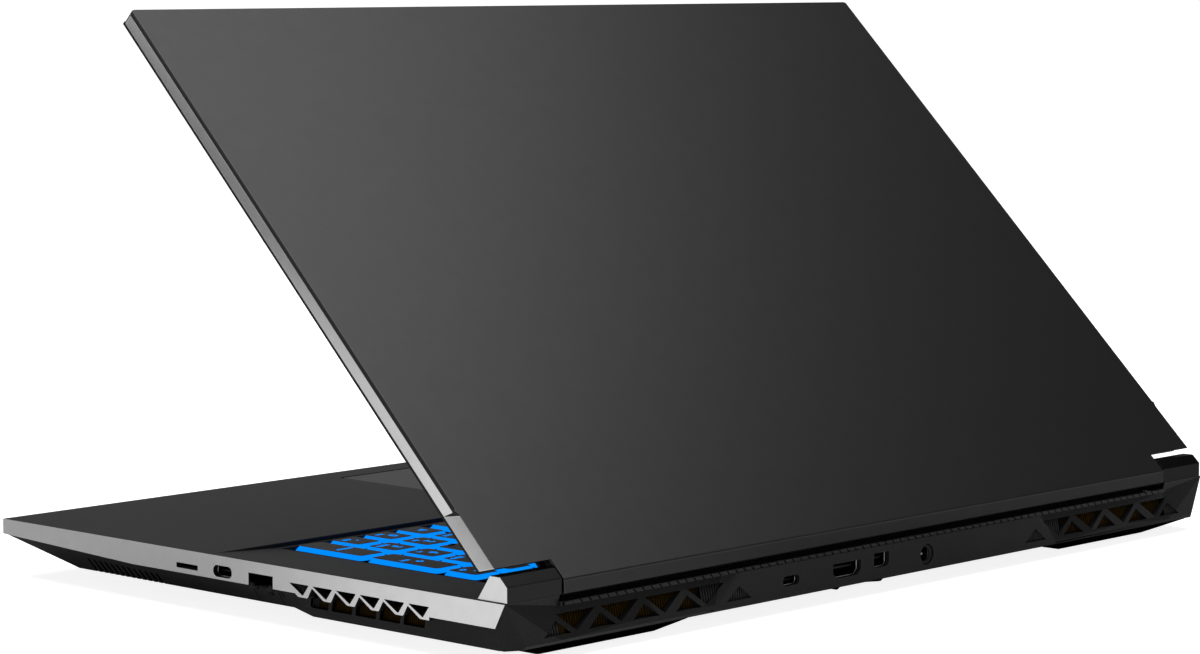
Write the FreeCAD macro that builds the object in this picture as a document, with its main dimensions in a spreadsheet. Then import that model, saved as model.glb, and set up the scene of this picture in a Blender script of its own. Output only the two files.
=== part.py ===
import FreeCAD, Part
import itertools
import os
import re
import Sketcher

# A 17-inch laptop computer, open at 45 degrees, standing on its rubber feet.
# X runs to the user's right, Y to the rear and Z up; the origin is on the table under its middle.

V = FreeCAD.Vector
doc = FreeCAD.newDocument("Laptop")
sheet = doc.addObject("Spreadsheet::Sheet", "Sizes")

# Driving sizes in millimetres and degrees, each with what it measures
SIZES = [
    ("base_width", 397.0, "width of the base"),
    ("base_depth", 266.8, "front edge to the rear face of the hinge caps"),
    ("case_thick", 16.0, "deck top to the underside of the bottom cover"),
    ("foot_tall", 5.2, "height of the rubber feet"),
    ("rear_bulge", 1.35, "how far the foot of the rear panel stands behind the caps"),
    ("deck_thick", 1.5, "thickness of the deck"),
    ("side_wall", 2.0, "thickness of the side strips of the top case"),
    ("shell_wall", 1.5, "thickness of the bottom cover"),
    ("fit_gap", 0.3, "gap round a piece that sits in a hole"),
    ("cut_over", 1.0, "how far a cutter reaches past what it cuts"),
    ("strip_front_tall", 5.6, "side strip height at the front corner"),
    ("strip_mid_tall", 6.9, "side strip height at its bend"),
    ("strip_mid_in", 34.8, "front edge to the bend of the side strip"),
    ("strip_tall", 8.4, "side strip height along the rear half"),
    ("strip_full_in", 76.8, "front edge to where the strip has its full height"),
    ("strip_end_in", 4.5, "how far the rear end of the strip slants forward"),
    ("strip_step_in", 3.0, "front of the side vents to where the strip grows taller behind it"),
    # keyboard well in the deck
    ("well_front_in", 147.3, "rear face to the front wall of the keyboard well"),
    ("well_rear_in", 27.5, "rear face to the rear wall of the keyboard well"),
    ("well_deep", 1.4, "depth of the keyboard well"),
    ("well_floor_thick", 1.5, "thickness of the floor of the well"),
    ("well_lip", 3.0, "margin of thick deck round the well"),
    ("ramp_in", 3.2, "side edge to the outer end of the ramp beside the keys"),
    ("ramp_wide", 27.4, "width of the ramp beside the keys"),
    # keys
    ("keys_half", 166.0, "half the width of the key field"),
    ("keys_front_in", 142.6, "rear face to the front of the first key row"),
    ("row_pitch", 19.2, "pitch of the key rows"),
    ("top_row_gap", 3.1, "extra gap in front of the function row"),
    ("top_row_pitch", 13.0, "pitch of the shorter function row"),
    ("numpad_pitch", 16.1, "pitch of the number pad columns"),
    ("numpad_gap", 1.6, "gap between the main keys and the number pad"),
    ("key_gap", 2.4, "gap between neighbouring key skirts"),
    ("key_slope", 0.9, "inset of a key's top from its skirt"),
    ("key_tall", 2.4, "height of a key cap"),
    ("key_sunk", 0.2, "key top below the deck"),
    ("key_travel", 1.5, "travel of a key"),
    ("key_spare", 0.4, "room left under a pressed key"),
    ("key_field_gap", 1.6, "gap from the key field to the edge of the well's opening"),
    ("stem_radius", 2.0, "radius of the stem under a key"),
    ("stem_below", 0.7, "how far a stem reaches below the key plate"),
    ("plate_thick", 1.0, "thickness of the key plate"),
    ("plate_rim", 3.0, "width of the rim of the key plate"),
    # touchpad and power button
    ("pad_right", 40.3, "right edge of the touchpad"),
    ("pad_wide", 117.0, "width of the touchpad"),
    ("pad_front_in", 253.4, "rear face to the front edge of the touchpad"),
    ("pad_deep", 75.0, "depth of the touchpad"),
    ("pad_thick", 1.8, "thickness of the touchpad"),
    ("pad_sunk", 0.15, "touchpad surface below the deck"),
    ("pad_gap", 0.4, "gap round the touchpad"),
    ("pad_press", 0.7, "room under the touchpad"),
    ("pad_rim", 4.0, "width of the rim of the touchpad bracket"),
    ("bracket_thick", 1.0, "thickness of the touchpad bracket"),
    ("button_wide", 16.0, "width of the power button"),
    ("button_deep", 6.0, "depth of the power button"),
    ("button_tall", 2.6, "height of the power button"),
    ("button_x", 150.0, "middle of the power button"),
    ("button_in", 20.0, "rear face to the middle of the power button"),
    ("button_sunk", 0.2, "power button top below the deck"),
    # hinges
    ("cap_wide", 25.4, "width of a hinge cap"),
    ("cap_in", 1.1, "side edge to the outer end of a hinge cap"),
    ("cap_deep", 13.84, "depth of a hinge cap at the deck"),
    ("cap_back_tall", 5.47, "height of the rear face of a hinge cap"),
    ("cap_tall", 8.56, "height of a hinge cap"),
    ("cap_slope", 3.19, "depth of the sloping rear edge of a hinge cap"),
    ("cap_top_in", 7.94, "rear face to the front of the cap's flat top"),
    ("axis_in", 6.0, "rear face to the hinge axis"),
    ("axis_up", 2.3, "deck to the hinge axis"),
    ("pin_radius", 1.5, "radius of a hinge pin"),
    ("pin_gap", 0.05, "running clearance of a hinge pin"),
    ("barrel_radius", 3.0, "outer radius of a hinge barrel"),
    ("barrel_gap", 0.4, "gap round a hinge barrel"),
    ("barrel_long", 16.0, "length of the fixed barrel"),
    ("barrel_in", 3.0, "inner end of a cap to the fixed barrel"),
    ("web_thick", 3.0, "thickness of the web under the fixed barrel"),
    ("foot_plate_thick", 2.0, "thickness of the hinge foot plate"),
    ("foot_plate_long", 20.0, "length of the hinge foot plate"),
    ("trough_radius", 7.4, "radius of the trough that the lid's lower edge turns in"),
    ("trough_wall", 0.8, "thickness of the trough under its lowest line"),
    ("end_gap", 0.6, "gap between the lid's lower edge and a hinge cap"),
    # lid
    ("lid_open", 44.73, "opening angle of the lid at rest"),
    ("lid_thick", 6.7, "thickness of the lid"),
    ("closed_gap", 2.03, "deck to the closed lid"),
    ("bezel_thick", 1.3, "thickness of the screen bezel"),
    ("bezel_inset", 0.5, "inset of the bezel from the lid's edge"),
    ("lid_skin", 1.2, "thickness of the lid's back"),
    ("lid_wall", 1.6, "thickness of the lid's side walls"),
    ("lid_corner", 2.5, "radius of the lid's outer corners"),
    ("lid_edge", 1.0, "chamfer along the lid's side edges"),
    ("ear_from_axis", 5.83, "hinge axis to the lower end of the lid's ears"),
    ("ear_slant", 3.3, "slant of the ears' lower end"),
    ("ear_plain", 25.0, "length of the ears without an edge chamfer"),
    ("chin_flat", 2.67, "hinge axis to the end of the chin's flat back"),
    ("chin_tip", 6.07, "hinge axis to the tip of the chin"),
    ("chin_bevel", 3.3, "depth of the bevel of the chin"),
    ("chin_under", 0.9, "how far the chin's front edge lies above its tip"),
    ("chin_root", 10.5, "hinge axis to the top of the solid chin"),
    ("chin_step", 2.0, "hinge axis to the step under the bezel"),
    ("arm_long", 18.5, "length of the hinge arm in the chin"),
    ("arm_reach", 22.8, "hinge axis to the end of the hinge arm's leaf"),
    ("arm_leaf", 2.2, "thickness of the hinge arm's leaf"),
    ("arm_screw_in", 4.0, "edge of the hinge arm's leaf to its screws"),
    ("pin_short", 1.0, "end of the fixed barrel to the end of the pin"),
    ("screw_radius", 1.0, "radius of a small screw"),
    ("screw_head", 2.0, "radius of a small screw's head"),
    ("screw_head_tall", 0.8, "height of a small screw's head"),
    ("screen_wide", 382.1, "width of the picture area"),
    ("screen_tall", 214.9, "height of the picture area"),
    ("panel_wide", 390.0, "width of the display panel"),
    ("panel_tall", 228.0, "height of the display panel"),
    ("panel_thick", 2.6, "thickness of the display panel"),
    ("panel_top_in", 8.5, "lid's top edge to the display panel"),
    ("screen_top_in", 10.6, "lid's top edge to the picture area"),
    ("camera_wide", 36.0, "width of the camera board"),
    ("camera_tall", 5.0, "height of the camera board"),
    ("camera_thick", 2.0, "thickness of the camera board"),
    ("camera_in", 2.6, "lid's top edge to the camera board"),
    ("lens_radius", 1.6, "radius of the camera lens"),
    ("lens_sunk", 0.2, "lens face below the bezel"),
    ("bumper_thick", 1.7, "thickness of the lid's rubber bumpers"),
    ("bumper_long", 34.0, "length of a rubber bumper"),
    ("bumper_wide", 2.6, "width of a rubber bumper"),
    ("bumper_in", 2.4, "lid's edge to a rubber bumper"),
    ("bumper_side_in", 30.0, "lid's side to a rubber bumper"),
    # bottom cover
    ("cover_top_in", 0.6, "side edge to the top of the bottom cover"),
    ("cover_slope", 8.7, "inward slope of the cover's front sides"),
    ("cover_nose_in", 33.8, "front edge to the start of the flat bottom"),
    ("vent_block_long", 95.0, "length of the wide rear block of the bottom cover"),
    ("vent_block_taper", 18.0, "length of the taper in front of the wide block"),
    ("slit_wide", 1.2, "width of a speaker slit"),
    ("slit_reach", 14.0, "depth of the cut of a speaker slit"),
    ("slit_below", 3.4, "lower edge of the strip to the speaker slits"),
    ("slit_pitch", 3.16, "pitch of the speaker slits"),
    ("slit_rear_in", 184.6, "rear face to the last speaker slit"),
    ("intake_wide", 2.0, "width of an air intake slot"),
    ("intake_long", 44.0, "length of an air intake slot"),
    ("intake_pitch", 4.4, "pitch of the air intake slots"),
    ("intake_round", 0.5, "how fast the intake slots shorten away from the middle one"),
    # rear panel
    ("panel_front_in", 4.5, "rear face to the front of the rear panel"),
    ("panel_ledge", 0.3, "how far the rear ledge stands behind the caps"),
    ("ledge_below", 2.4, "deck to the top of the rear panel"),
    ("ledge_tall", 1.25, "height of the ledge under the chin"),
    ("vent_face_in", 1.2, "rear face to the top of the vent face"),
    ("vent_end_in", 25.5, "side edge to the top end of a vent face"),
    ("corner_foot_in", 9.3, "side edge to the foot of the big corner facet"),
    ("corner_side_in", 2.4, "side edge to the foot of the corner's side facet"),
    ("corner_side_back", 2.8, "rear face to the foot of the corner's side facet"),
    ("panel_hollow", 2.2, "thickness of the rear panel at the fins"),
    ("port_face_out", 1.2, "how far the port face stands behind the caps"),
    ("port_top_half", 84.6, "half the width of the port face at its top"),
    ("port_foot_half", 99.5, "half the width of the port face at its foot"),
    ("port_flank", 7.4, "width of the flank beside the port face"),
    ("vent_first_in", 24.0, "side edge to the first upper vent"),
    ("vent_pitch", 21.4, "pitch of the rear vents"),
    ("vent_upper_wide", 18.5, "width of an upper vent at its top"),
    ("vent_upper_top", 6.3, "deck to the top of the upper vents"),
    ("vent_upper_tip", 12.8, "deck to the tip of the upper vents"),
    ("vent_tip_shift", 9.0, "outer corner to the tip of an upper vent"),
    ("vent_lower_first_in", 16.9, "side edge to the first lower vent"),
    ("vent_lower_wide", 13.4, "width of a lower vent at its foot"),
    ("vent_lower_shift", 6.6, "outer corner to the tip of a lower vent"),
    ("vent_lower_tip", 8.25, "deck to the tip of the lower vents"),
    ("vent_lower_foot", 13.15, "deck to the foot of the lower vents"),
    ("vent_lip", 1.0, "depth of the rear vents beside the fins"),
    ("mark_vent_half", 85.5, "middle of the small vent on the port face"),
    ("mark_vent_wide", 13.35, "width of the small vent"),
    ("mark_vent_tall", 4.95, "height of the small vent"),
    ("mark_vent_tip", 8.2, "deck to the tip of the small vent"),
    ("mark_vent_deep", 1.0, "depth of the small vent"),
    ("tooth_pitch", 4.3, "pitch of the teeth under the chin"),
    ("tooth_wide", 3.5, "width of a tooth"),
    ("tooth_tall", 1.2, "height of a tooth"),
    ("tooth_lean", 1.2, "lean of a tooth"),
    ("tooth_thick", 0.5, "thickness of the row of teeth"),
    ("teeth_in", 26.5, "side edge to the first tooth"),
    ("teeth_web", 0.25, "thickness of the strip that carries the teeth"),
    # side vents
    ("side_vent_first_in", 105.0, "rear face to the first side vent"),
    ("side_vent_pitch", 11.9, "pitch of the side vents"),
    ("side_vent_wide", 10.1, "width of a side vent"),
    ("side_vent_top", 5.0, "deck to the top of a side vent"),
    ("side_vent_tip", 8.95, "deck to the tip of a side vent"),
    ("side_vent_shift", 7.0, "front corner to the tip of a side vent"),
    ("tooth_edge_tall", 9.5, "deck to the lower edge of the strip at the side vents"),
    ("notch_tip", 6.2, "deck to the tip of a notch between the side vents"),
    ("notch_shift", 11.55, "side vent's front corner to the tip of the notch"),
    ("notch_front", 9.45, "side vent's front corner to the front of the notch"),
    ("notch_rear", 16.6, "side vent's front corner to the rear of the notch"),
    ("window_foot", 12.9, "deck to the foot of a side window"),
    ("window_front", 8.6, "side vent's front corner to the front of a side window"),
    ("window_wide", 10.1, "width of a side window"),
    ("window_lean", 1.1, "how far the foot of a side window lies forward of its top"),
    # inner parts
    ("board_below", 9.0, "deck to the top of the mainboard"),
    ("board_thick", 1.2, "thickness of the mainboard"),
    ("board_half", 86.0, "half the width of the mainboard's rear part"),
    ("board_rear_in", 15.0, "rear face to the mainboard's rear edge"),
    ("board_neck_in", 104.0, "rear face to the mainboard's wings"),
    ("board_front_in", 170.0, "rear face to the mainboard's front edge"),
    ("board_side_in", 20.5, "side edge to the mainboard's wings"),
    ("chip_wide", 36.0, "width of a processor package"),
    ("chip_deep", 28.0, "depth of a processor package"),
    ("chip_thick", 1.2, "thickness of a processor package"),
    ("chip_x", 36.0, "middle of a processor package"),
    ("chip_in", 66.0, "rear face to the middle of the processor packages"),
    ("plate_extra", 6.0, "margin of the cold plate round the packages"),
    ("cold_plate_thick", 1.0, "thickness of the cold plate"),
    ("pipe_thick", 2.0, "thickness of a heat pipe"),
    ("pipe_wide", 8.0, "width of a heat pipe"),
    ("fan_size", 66.0, "width of a fan"),
    ("fan_in", 53.0, "rear face to the middle of a fan"),
    ("fan_side_in", 62.0, "side edge to the middle of a fan"),
    ("fan_tall", 5.8, "height of a fan"),
    ("fan_wall", 1.0, "thickness of a fan's walls"),
    ("fan_mouth", 24.0, "radius of a fan's intake"),
    ("fan_bore", 31.0, "radius of a fan's chamber"),
    ("rotor_radius", 29.0, "radius of a fan rotor"),
    ("rotor_hub", 11.0, "radius of a fan rotor's hub"),
    ("rotor_tall", 3.2, "height of a fan rotor"),
    ("rotor_gap", 0.35, "gap under a fan rotor"),
    ("shaft_radius", 1.5, "radius of a fan's shaft"),
    ("blade_thick", 0.9, "thickness of a fan blade"),
    ("fin_thick", 0.6, "thickness of a cooling fin"),
    ("fin_pitch", 2.0, "pitch of the cooling fins"),
    ("fin_base", 0.8, "thickness of the base of a fin stack"),
    ("fins_below", 6.2, "deck to the top of the rear fins"),
    ("fins_wide", 66.0, "width of a rear fin stack"),
    ("fins_side_in", 28.0, "side edge to a rear fin stack"),
    ("fins_deep", 9.0, "depth of a rear fin stack"),
    ("fins_rear_in", 3.7, "rear face to a rear fin stack"),
    ("side_fins_below", 5.0, "deck to the top of the side fins"),
    ("side_fins_deep", 9.0, "depth of a side fin stack"),
    ("side_fins_gap", 0.6, "side wall to a side fin stack"),
    ("side_fins_long", 57.0, "length of a side fin stack"),
    ("battery_half", 138.0, "half the width of the battery"),
    ("battery_front_in", 231.0, "rear face to the battery's front"),
    ("battery_rear_in", 173.0, "rear face to the battery's rear"),
    ("battery_thick", 5.4, "thickness of the battery"),
    ("cell_groove", 1.2, "width of the grooves between the cells"),
    ("cell_groove_deep", 0.8, "depth of the grooves between the cells"),
    ("memory_wide", 67.6, "width of a memory module"),
    ("memory_deep", 30.0, "depth of a memory module"),
    ("memory_thick", 1.2, "thickness of a memory module"),
    ("memory_in", 121.0, "rear face to the middle of the memory modules"),
    ("memory_x", 38.0, "middle of a memory module"),
    ("drive_long", 80.0, "length of the storage drive"),
    ("drive_wide", 22.0, "width of the storage drive"),
    ("drive_thick", 2.4, "thickness of the storage drive"),
    ("drive_in", 152.0, "rear face to the middle of the storage drive"),
    ("radio_wide", 22.0, "width of the wireless card"),
    ("radio_deep", 30.0, "depth of the wireless card"),
    ("radio_x", -110.0, "middle of the wireless card"),
    ("speaker_wide", 34.0, "width of a speaker"),
    ("speaker_deep", 54.0, "depth of a speaker"),
    ("speaker_tall", 5.6, "height of a speaker"),
    ("speaker_side_in", 14.0, "side edge to a speaker"),
    ("speaker_front_in", 231.0, "rear face to a speaker's front"),
    ("cone_radius", 12.0, "radius of a speaker's cone"),
    ("cone_deep", 1.4, "depth of a speaker's cone"),
    # ports
    ("socket_deep", 13.0, "depth of a port socket"),
    ("socket_shell", 0.4, "thickness of a socket's metal shell"),
    ("socket_sunk", 0.5, "socket mouth behind the wall's outer face"),
    ("port_sunk", 2.0, "mouth of a flat port behind the wall's outer face"),
    ("socket_back", 1.5, "thickness of a socket's back"),
    ("socket_foot", 2.0, "thickness of the foot that holds a socket to the mainboard"),
    ("tongue_side", 1.2, "gap beside a socket's tongue"),
    ("tongue_thick", 0.7, "thickness of a socket's tongue"),
    ("tongue_sunk", 1.2, "socket mouth to its tongue"),
    ("card_in", 159.5, "rear face to the card slot"),
    ("card_wide", 11.1, "width of the card slot"),
    ("card_tall", 1.25, "height of the card slot"),
    ("card_below", 5.75, "deck to the card slot"),
    ("small_port_in", 140.2, "rear face to the side's oval port"),
    ("oval_wide", 9.4, "width of the side's oval port"),
    ("oval_tall", 3.55, "height of the side's oval port"),
    ("oval_below", 5.45, "deck to the side's oval port"),
    ("net_in", 119.9, "rear face to the network socket"),
    ("net_wide", 11.4, "width of the network socket"),
    ("net_tall", 6.75, "height of the network socket's face"),
    ("net_below", 8.125, "deck to the middle of the network socket"),
    ("net_face_tall", 2.15, "height of the wide top of the network socket's mouth"),
    ("net_step_wide", 6.2, "width of the network socket's mouth under its step"),
    ("net_step_tall", 4.15, "height of the network socket's mouth down to its second step"),
    ("net_latch_wide", 3.4, "width of the slot for a plug's latch"),
    ("net_latch_tall", 4.95, "height of the network socket's mouth at the latch slot"),
    ("rear_oval_wide", 8.3, "width of the rear oval port"),
    ("rear_oval_tall", 2.95, "height of the rear oval port"),
    ("rear_oval_x", 57.75, "middle of the rear oval port"),
    ("rear_oval_below", 9.85, "deck to the rear oval port"),
    ("video_x", 27.0, "middle of the wide video port"),
    ("video_wide", 15.0, "width of the wide video port"),
    ("video_tall", 4.8, "height of the wide video port"),
    ("video_below", 9.8, "deck to the wide video port"),
    ("mini_x", 7.5, "middle of the small video port"),
    ("mini_wide", 8.0, "width of the small video port"),
    ("mini_tall", 4.8, "height of the small video port"),
    ("mini_below", 8.7, "deck to the small video port"),
    ("power_x", -19.0, "middle of the power inlet"),
    ("power_below", 10.0, "deck to the power inlet"),
    ("power_radius", 3.6, "radius of the power inlet's barrel"),
    ("power_bore", 2.8, "bore of the power inlet"),
    ("power_pin", 1.2, "radius of the power inlet's pin"),
    ("usb_wide", 12.5, "width of a large port"),
    ("usb_tall", 5.0, "height of a large port"),
    ("usb_below", 5.3, "deck to a large port"),
    ("usb_in", 122.0, "rear face to the first large port"),
    ("usb_pitch", 16.5, "pitch of the large ports"),
    ("audio_in", 162.0, "rear face to the first audio jack"),
    ("audio_pitch", 10.0, "pitch of the audio jacks"),
    ("audio_below", 4.6, "deck to an audio jack"),
    ("audio_radius", 2.8, "outer radius of an audio jack"),
    ("audio_bore", 1.8, "bore of an audio jack"),
    # feet and screws
    ("foot_outer_in", 10.0, "side edge to the outer end of a rear foot"),
    ("foot_long", 78.6, "length of a rear foot"),
    ("foot_taper", 5.8, "slant of the inner end of a rear foot"),
    ("foot_draft", 15.5, "slant of the outer end of a rear foot"),
    ("foot_wide", 22.4, "width of a rear foot"),
    ("foot_rear_in", 1.0, "rear edge of the underside to a rear foot"),
    ("foot_lean", 10.8, "slant of the rear face of a rear foot"),
    ("foot_front_lean", 2.0, "slant of the front face of a rear foot"),
    ("stud_x", 12.8, "outer corner of a small middle foot at the table"),
    ("stud_rear_in", 15.2, "rear face to the rear corner of a small middle foot"),
    ("stud_wide", 9.3, "width of a small middle foot"),
    ("stud_deep", 10.0, "depth of a small middle foot"),
    ("stud_slant", 5.1, "how far the inner end of a small middle foot lies forward"),
    ("stud_draft", 3.5, "slant of the sides of a small middle foot"),
    ("front_foot_wide", 9.0, "width of the front foot"),
    ("front_foot_taper", 16.0, "slant of an end of the front foot"),
    ("front_foot_long", 250.0, "length of the front foot"),
    ("front_foot_in", 218.0, "rear face to the front foot"),
    ("bottom_screw_side_in", 24.0, "side edge to the outer bottom screws"),
    ("bottom_screw_inner_in", 54.2, "side edge to the front bottom screws"),
    ("bottom_screw_front_in", 222.0, "rear face to the front bottom screws"),
    ("bottom_screw_mid_in", 149.8, "rear face to the middle bottom screws"),
    ("bottom_screw_rear_in", 108.0, "rear face to the rear bottom screws"),
    ("boss_radius", 2.6, "radius of a screw boss"),
    ("bottom_screw_long", 6.0, "length of a bottom screw"),
    ("bottom_screw_head", 2.3, "radius of a bottom screw's head"),
    ("bottom_screw_sunk", 0.1, "bottom screw's head below the cover's face"),
]

# Sizes that follow from the driving ones
FORMULAS = [
    ("half_width", "base_width / 2"),
    ("deck_top", "case_thick + foot_tall"),
    ("front_y", "-(base_depth + rear_bulge) / 2"),
    ("rear_y", "(base_depth - rear_bulge) / 2"),
    ("axis_y", "rear_y - axis_in"),
    ("axis_z", "deck_top + axis_up"),
    ("floor_z", "foot_tall + shell_wall"),
    ("cap_outer", "half_width - cap_in"),
    ("cap_inner", "half_width - cap_in - cap_wide"),
    ("chin_half", "half_width - cap_in - cap_wide - end_gap"),
    ("ramp_outer", "half_width - ramp_in"),
    ("ramp_inner", "half_width - ramp_in - ramp_wide"),
    ("main_pitch", "(2 * keys_half - 4 * numpad_pitch - numpad_gap) / 15"),
    ("keys_rear_in", "keys_front_in - 5 * row_pitch - top_row_gap - top_row_pitch"),
    ("key_foot_z", "deck_top - key_sunk - key_tall"),
    ("key_plate_z", "deck_top - key_sunk - key_tall - key_travel - key_spare"),
    ("well_under_z", "deck_top - well_deep - well_floor_thick"),
    ("pad_under_z", "deck_top - pad_sunk - pad_thick"),
    ("board_z", "deck_top - board_below - board_thick"),
    ("cold_z", "deck_top - board_below - board_thick - chip_thick - cold_plate_thick"),
    ("pipe_z", "cold_z - pipe_thick"),
    ("lid_face", "closed_gap - axis_up"),
    ("lid_rim", "closed_gap - axis_up + bezel_thick"),
    ("lid_back", "closed_gap - axis_up + lid_thick"),
    ("lid_inner", "closed_gap - axis_up + lid_thick - lid_skin"),
    ("lid_far", "front_y - axis_y"),
    ("cover_foot_half", "half_width - cover_top_in - cover_slope"),
    ("fan_x", "half_width - fan_side_in"),
    ("fan_y", "rear_y - fan_in"),
    ("vent_block_half", "half_width - side_wall"),
    ("vent_top", "deck_top - ledge_below - ledge_tall"),
    ("fins_outer", "half_width - fins_side_in"),
    ("fins_inner", "half_width - fins_side_in - fins_wide"),
]

ALIAS = re.compile(r"\b[a-z]+(?:_[a-z0-9]+)+\b")


def fill_sheet():
    """Write the driving sizes as plain numbers and the others as formulas, all with aliases."""
    for row, (alias, number, meaning) in enumerate(SIZES, 1):
        sheet.set(f"A{row}", meaning)
        sheet.set(f"B{row}", str(number))
        sheet.setAlias(f"B{row}", alias)
    for row, (alias, formula) in enumerate(FORMULAS, len(SIZES) + 2):
        sheet.set(f"A{row}", formula)
        sheet.set(f"B{row}", "=" + formula)
        sheet.setAlias(f"B{row}", alias)
    doc.recompute()


def tied(text):
    """The expression with every size read from the sheet."""
    return ALIAS.sub(lambda found: "Sizes." + found.group(0), str(text))


def value(text):
    """The number that an expression gives now."""
    return float(sheet.evalExpression(tied(text)))


def bind(thing, prop, text):
    """Tie a property to the sheet."""
    thing.setExpression(prop, tied(text))


def place(thing, x, y, z):
    """Tie an object's place to the sheet."""
    for axis, text in zip("xyz", (x, y, z)):
        bind(thing, f"Placement.Base.{axis}", text)


def box(name, low, high):
    """A block between two corners."""
    block = doc.addObject("Part::Box", name)
    for prop, start, end in zip(("Length", "Width", "Height"), low, high):
        bind(block, prop, f"({end}) - ({start})")
    place(block, *low)
    return block


TURNS = {
    "x": FreeCAD.Rotation(V(0, 1, 0), 90),
    "y": FreeCAD.Rotation(V(1, 0, 0), -90),
    "z": FreeCAD.Rotation(),
}


def rod(name, along, start, length, radius):
    """A round bar from a point, along one axis."""
    bar = doc.addObject("Part::Cylinder", name)
    bar.Placement = FreeCAD.Placement(V(), TURNS[along])
    bind(bar, "Radius", radius)
    bind(bar, "Height", length)
    place(bar, *start)
    return bar


PLANES = {"x": "YZ_Plane", "y": "XZ_Plane", "z": "XY_Plane"}


def sketch_on(body, along, offset):
    """An empty sketch on one of the body's own planes, moved along its normal."""
    sketch = body.newObject("Sketcher::SketchObject", body.Name + "_outline")
    plane = [item for item in body.Origin.OriginFeatures if item.Role == PLANES[along]][0]
    sketch.AttachmentSupport = [(plane, "")]
    sketch.MapMode = "FlatFace"
    bind(sketch, "AttachmentOffset.Base.z", offset)
    return sketch


def draw_outline(sketch, points):
    """A closed outline of straight lines, with both coordinates of every corner tied to the sheet."""
    count = len(points)
    spots = [V(value(a), value(b), 0) for a, b in points]
    first = sketch.GeometryCount
    sketch.addGeometry([Part.LineSegment(spots[i], spots[(i + 1) % count]) for i in range(count)])
    for i in range(count):
        sketch.addConstraint(Sketcher.Constraint("Coincident", first + i, 2, first + (i + 1) % count, 1))
    for i, (corner, spot) in enumerate(zip(points, spots)):
        for kind, text, number in zip(("DistanceX", "DistanceY"), corner, spot):
            index = sketch.addConstraint(Sketcher.Constraint(kind, -1, 1, first + i, 1, number))
            sketch.setExpression(f"Constraints[{index}]", tied(text))


def prism(name, along, points, start, end):
    """A body whose outline is padded along one axis from start to end."""
    body = doc.addObject("PartDesign::Body", name)
    offset = f"-({end})" if along == "y" else start
    sketch = sketch_on(body, along, offset)
    draw_outline(sketch, points)
    pad = body.newObject("PartDesign::Pad", name + "_pad")
    pad.Profile = sketch
    bind(pad, "Length", f"({end}) - ({start})")
    return body


def fused(name, pieces):
    """One solid of several."""
    whole = doc.addObject("Part::MultiFuse", name)
    whole.Shapes = pieces
    whole.Refine = True
    return whole


def grouped(name, pieces):
    """Separate solids kept together."""
    group = doc.addObject("Part::Compound", name)
    group.Links = pieces
    return group


def common(name, pieces):
    """What several solids share."""
    shared = doc.addObject("Part::MultiCommon", name)
    shared.Shapes = pieces
    return shared


def cut(name, base, tools):
    """A solid with tools taken out of it."""
    rest = doc.addObject("Part::Cut", name)
    rest.Base = base
    rest.Tool = tools[0] if len(tools) == 1 else fused(name + "_tools", tools)
    rest.Refine = True
    return rest


def mirrored(name, source):
    """The same piece on the left side."""
    copy = doc.addObject("Part::Mirroring", name)
    copy.Source = source
    copy.Normal = V(1, 0, 0)
    return copy


def both_sides(name, source):
    """The right piece and its mirror image."""
    return [source, mirrored(name, source)]


def convex_solid(name, points):
    """A faceted solid whose corners are the given points, each three expressions."""
    corners = [V(*(value(text) for text in point)) for point in points]
    middle = sum(corners, V()) * (1 / len(corners))
    flat = 1e-6
    seen = set()
    faces = []
    for trio in itertools.combinations(range(len(corners)), 3):
        a, b, c = (corners[i] for i in trio)
        normal = (b - a).cross(c - a)
        if normal.Length < flat:
            continue
        normal.normalize()
        if normal.dot(middle - a) > 0:
            normal = -normal
        heights = [normal.dot(corner - a) for corner in corners]
        on_face = tuple(i for i, height in enumerate(heights) if abs(height) < flat)
        if max(heights) > flat or on_face in seen:
            continue
        seen.add(on_face)
        centre = sum((corners[i] for i in on_face), V()) * (1 / len(on_face))
        across = (corners[on_face[0]] - centre).normalize()
        up = normal.cross(across)
        turn = sorted(on_face, key=lambda i: -FreeCAD.Vector(
            up.dot(corners[i] - centre), across.dot(corners[i] - centre), 0).getAngle(V(0, 1, 0))
            * (1 if up.dot(corners[i] - centre) >= 0 else -1))
        ring = [corners[i] for i in turn]
        faces.append(Part.Face(Part.makePolygon(ring + ring[:1])))
    solid = doc.addObject("Part::Feature", name)
    solid.Shape = Part.Solid(Part.Shell(faces))
    return solid


NODES = []


def node(label, thing):
    """Name a finished sub-part."""
    thing.Label = label
    NODES.append(thing)
    return thing


def lid_node(label, thing):
    """A finished sub-part of the lid, turned with it about the hinge axis."""
    thing.Placement = FreeCAD.Placement(V(), FreeCAD.Rotation(V(1, 0, 0), -value("lid_open")))
    bind(thing, "Placement.Rotation.Angle", "-lid_open")
    place(thing, "0", "axis_y", "axis_z")
    return node(label, thing)


def wall_box(name, side, along, out, below):
    """A block in a wall: its span along the wall, its span outwards and its span below the deck."""
    low_z, high_z = f"deck_top - ({below[1]})", f"deck_top - ({below[0]})"
    if side == "rear":
        return box(name, (along[0], out[0], low_z), (along[1], out[1], high_z))
    return box(name, (out[0], along[0], low_z), (out[1], along[1], high_z))


def spread(middle, width):
    """The two ends of a span."""
    return f"({middle}) - ({width}) / 2", f"({middle}) + ({width}) / 2"


fill_sheet()

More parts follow.
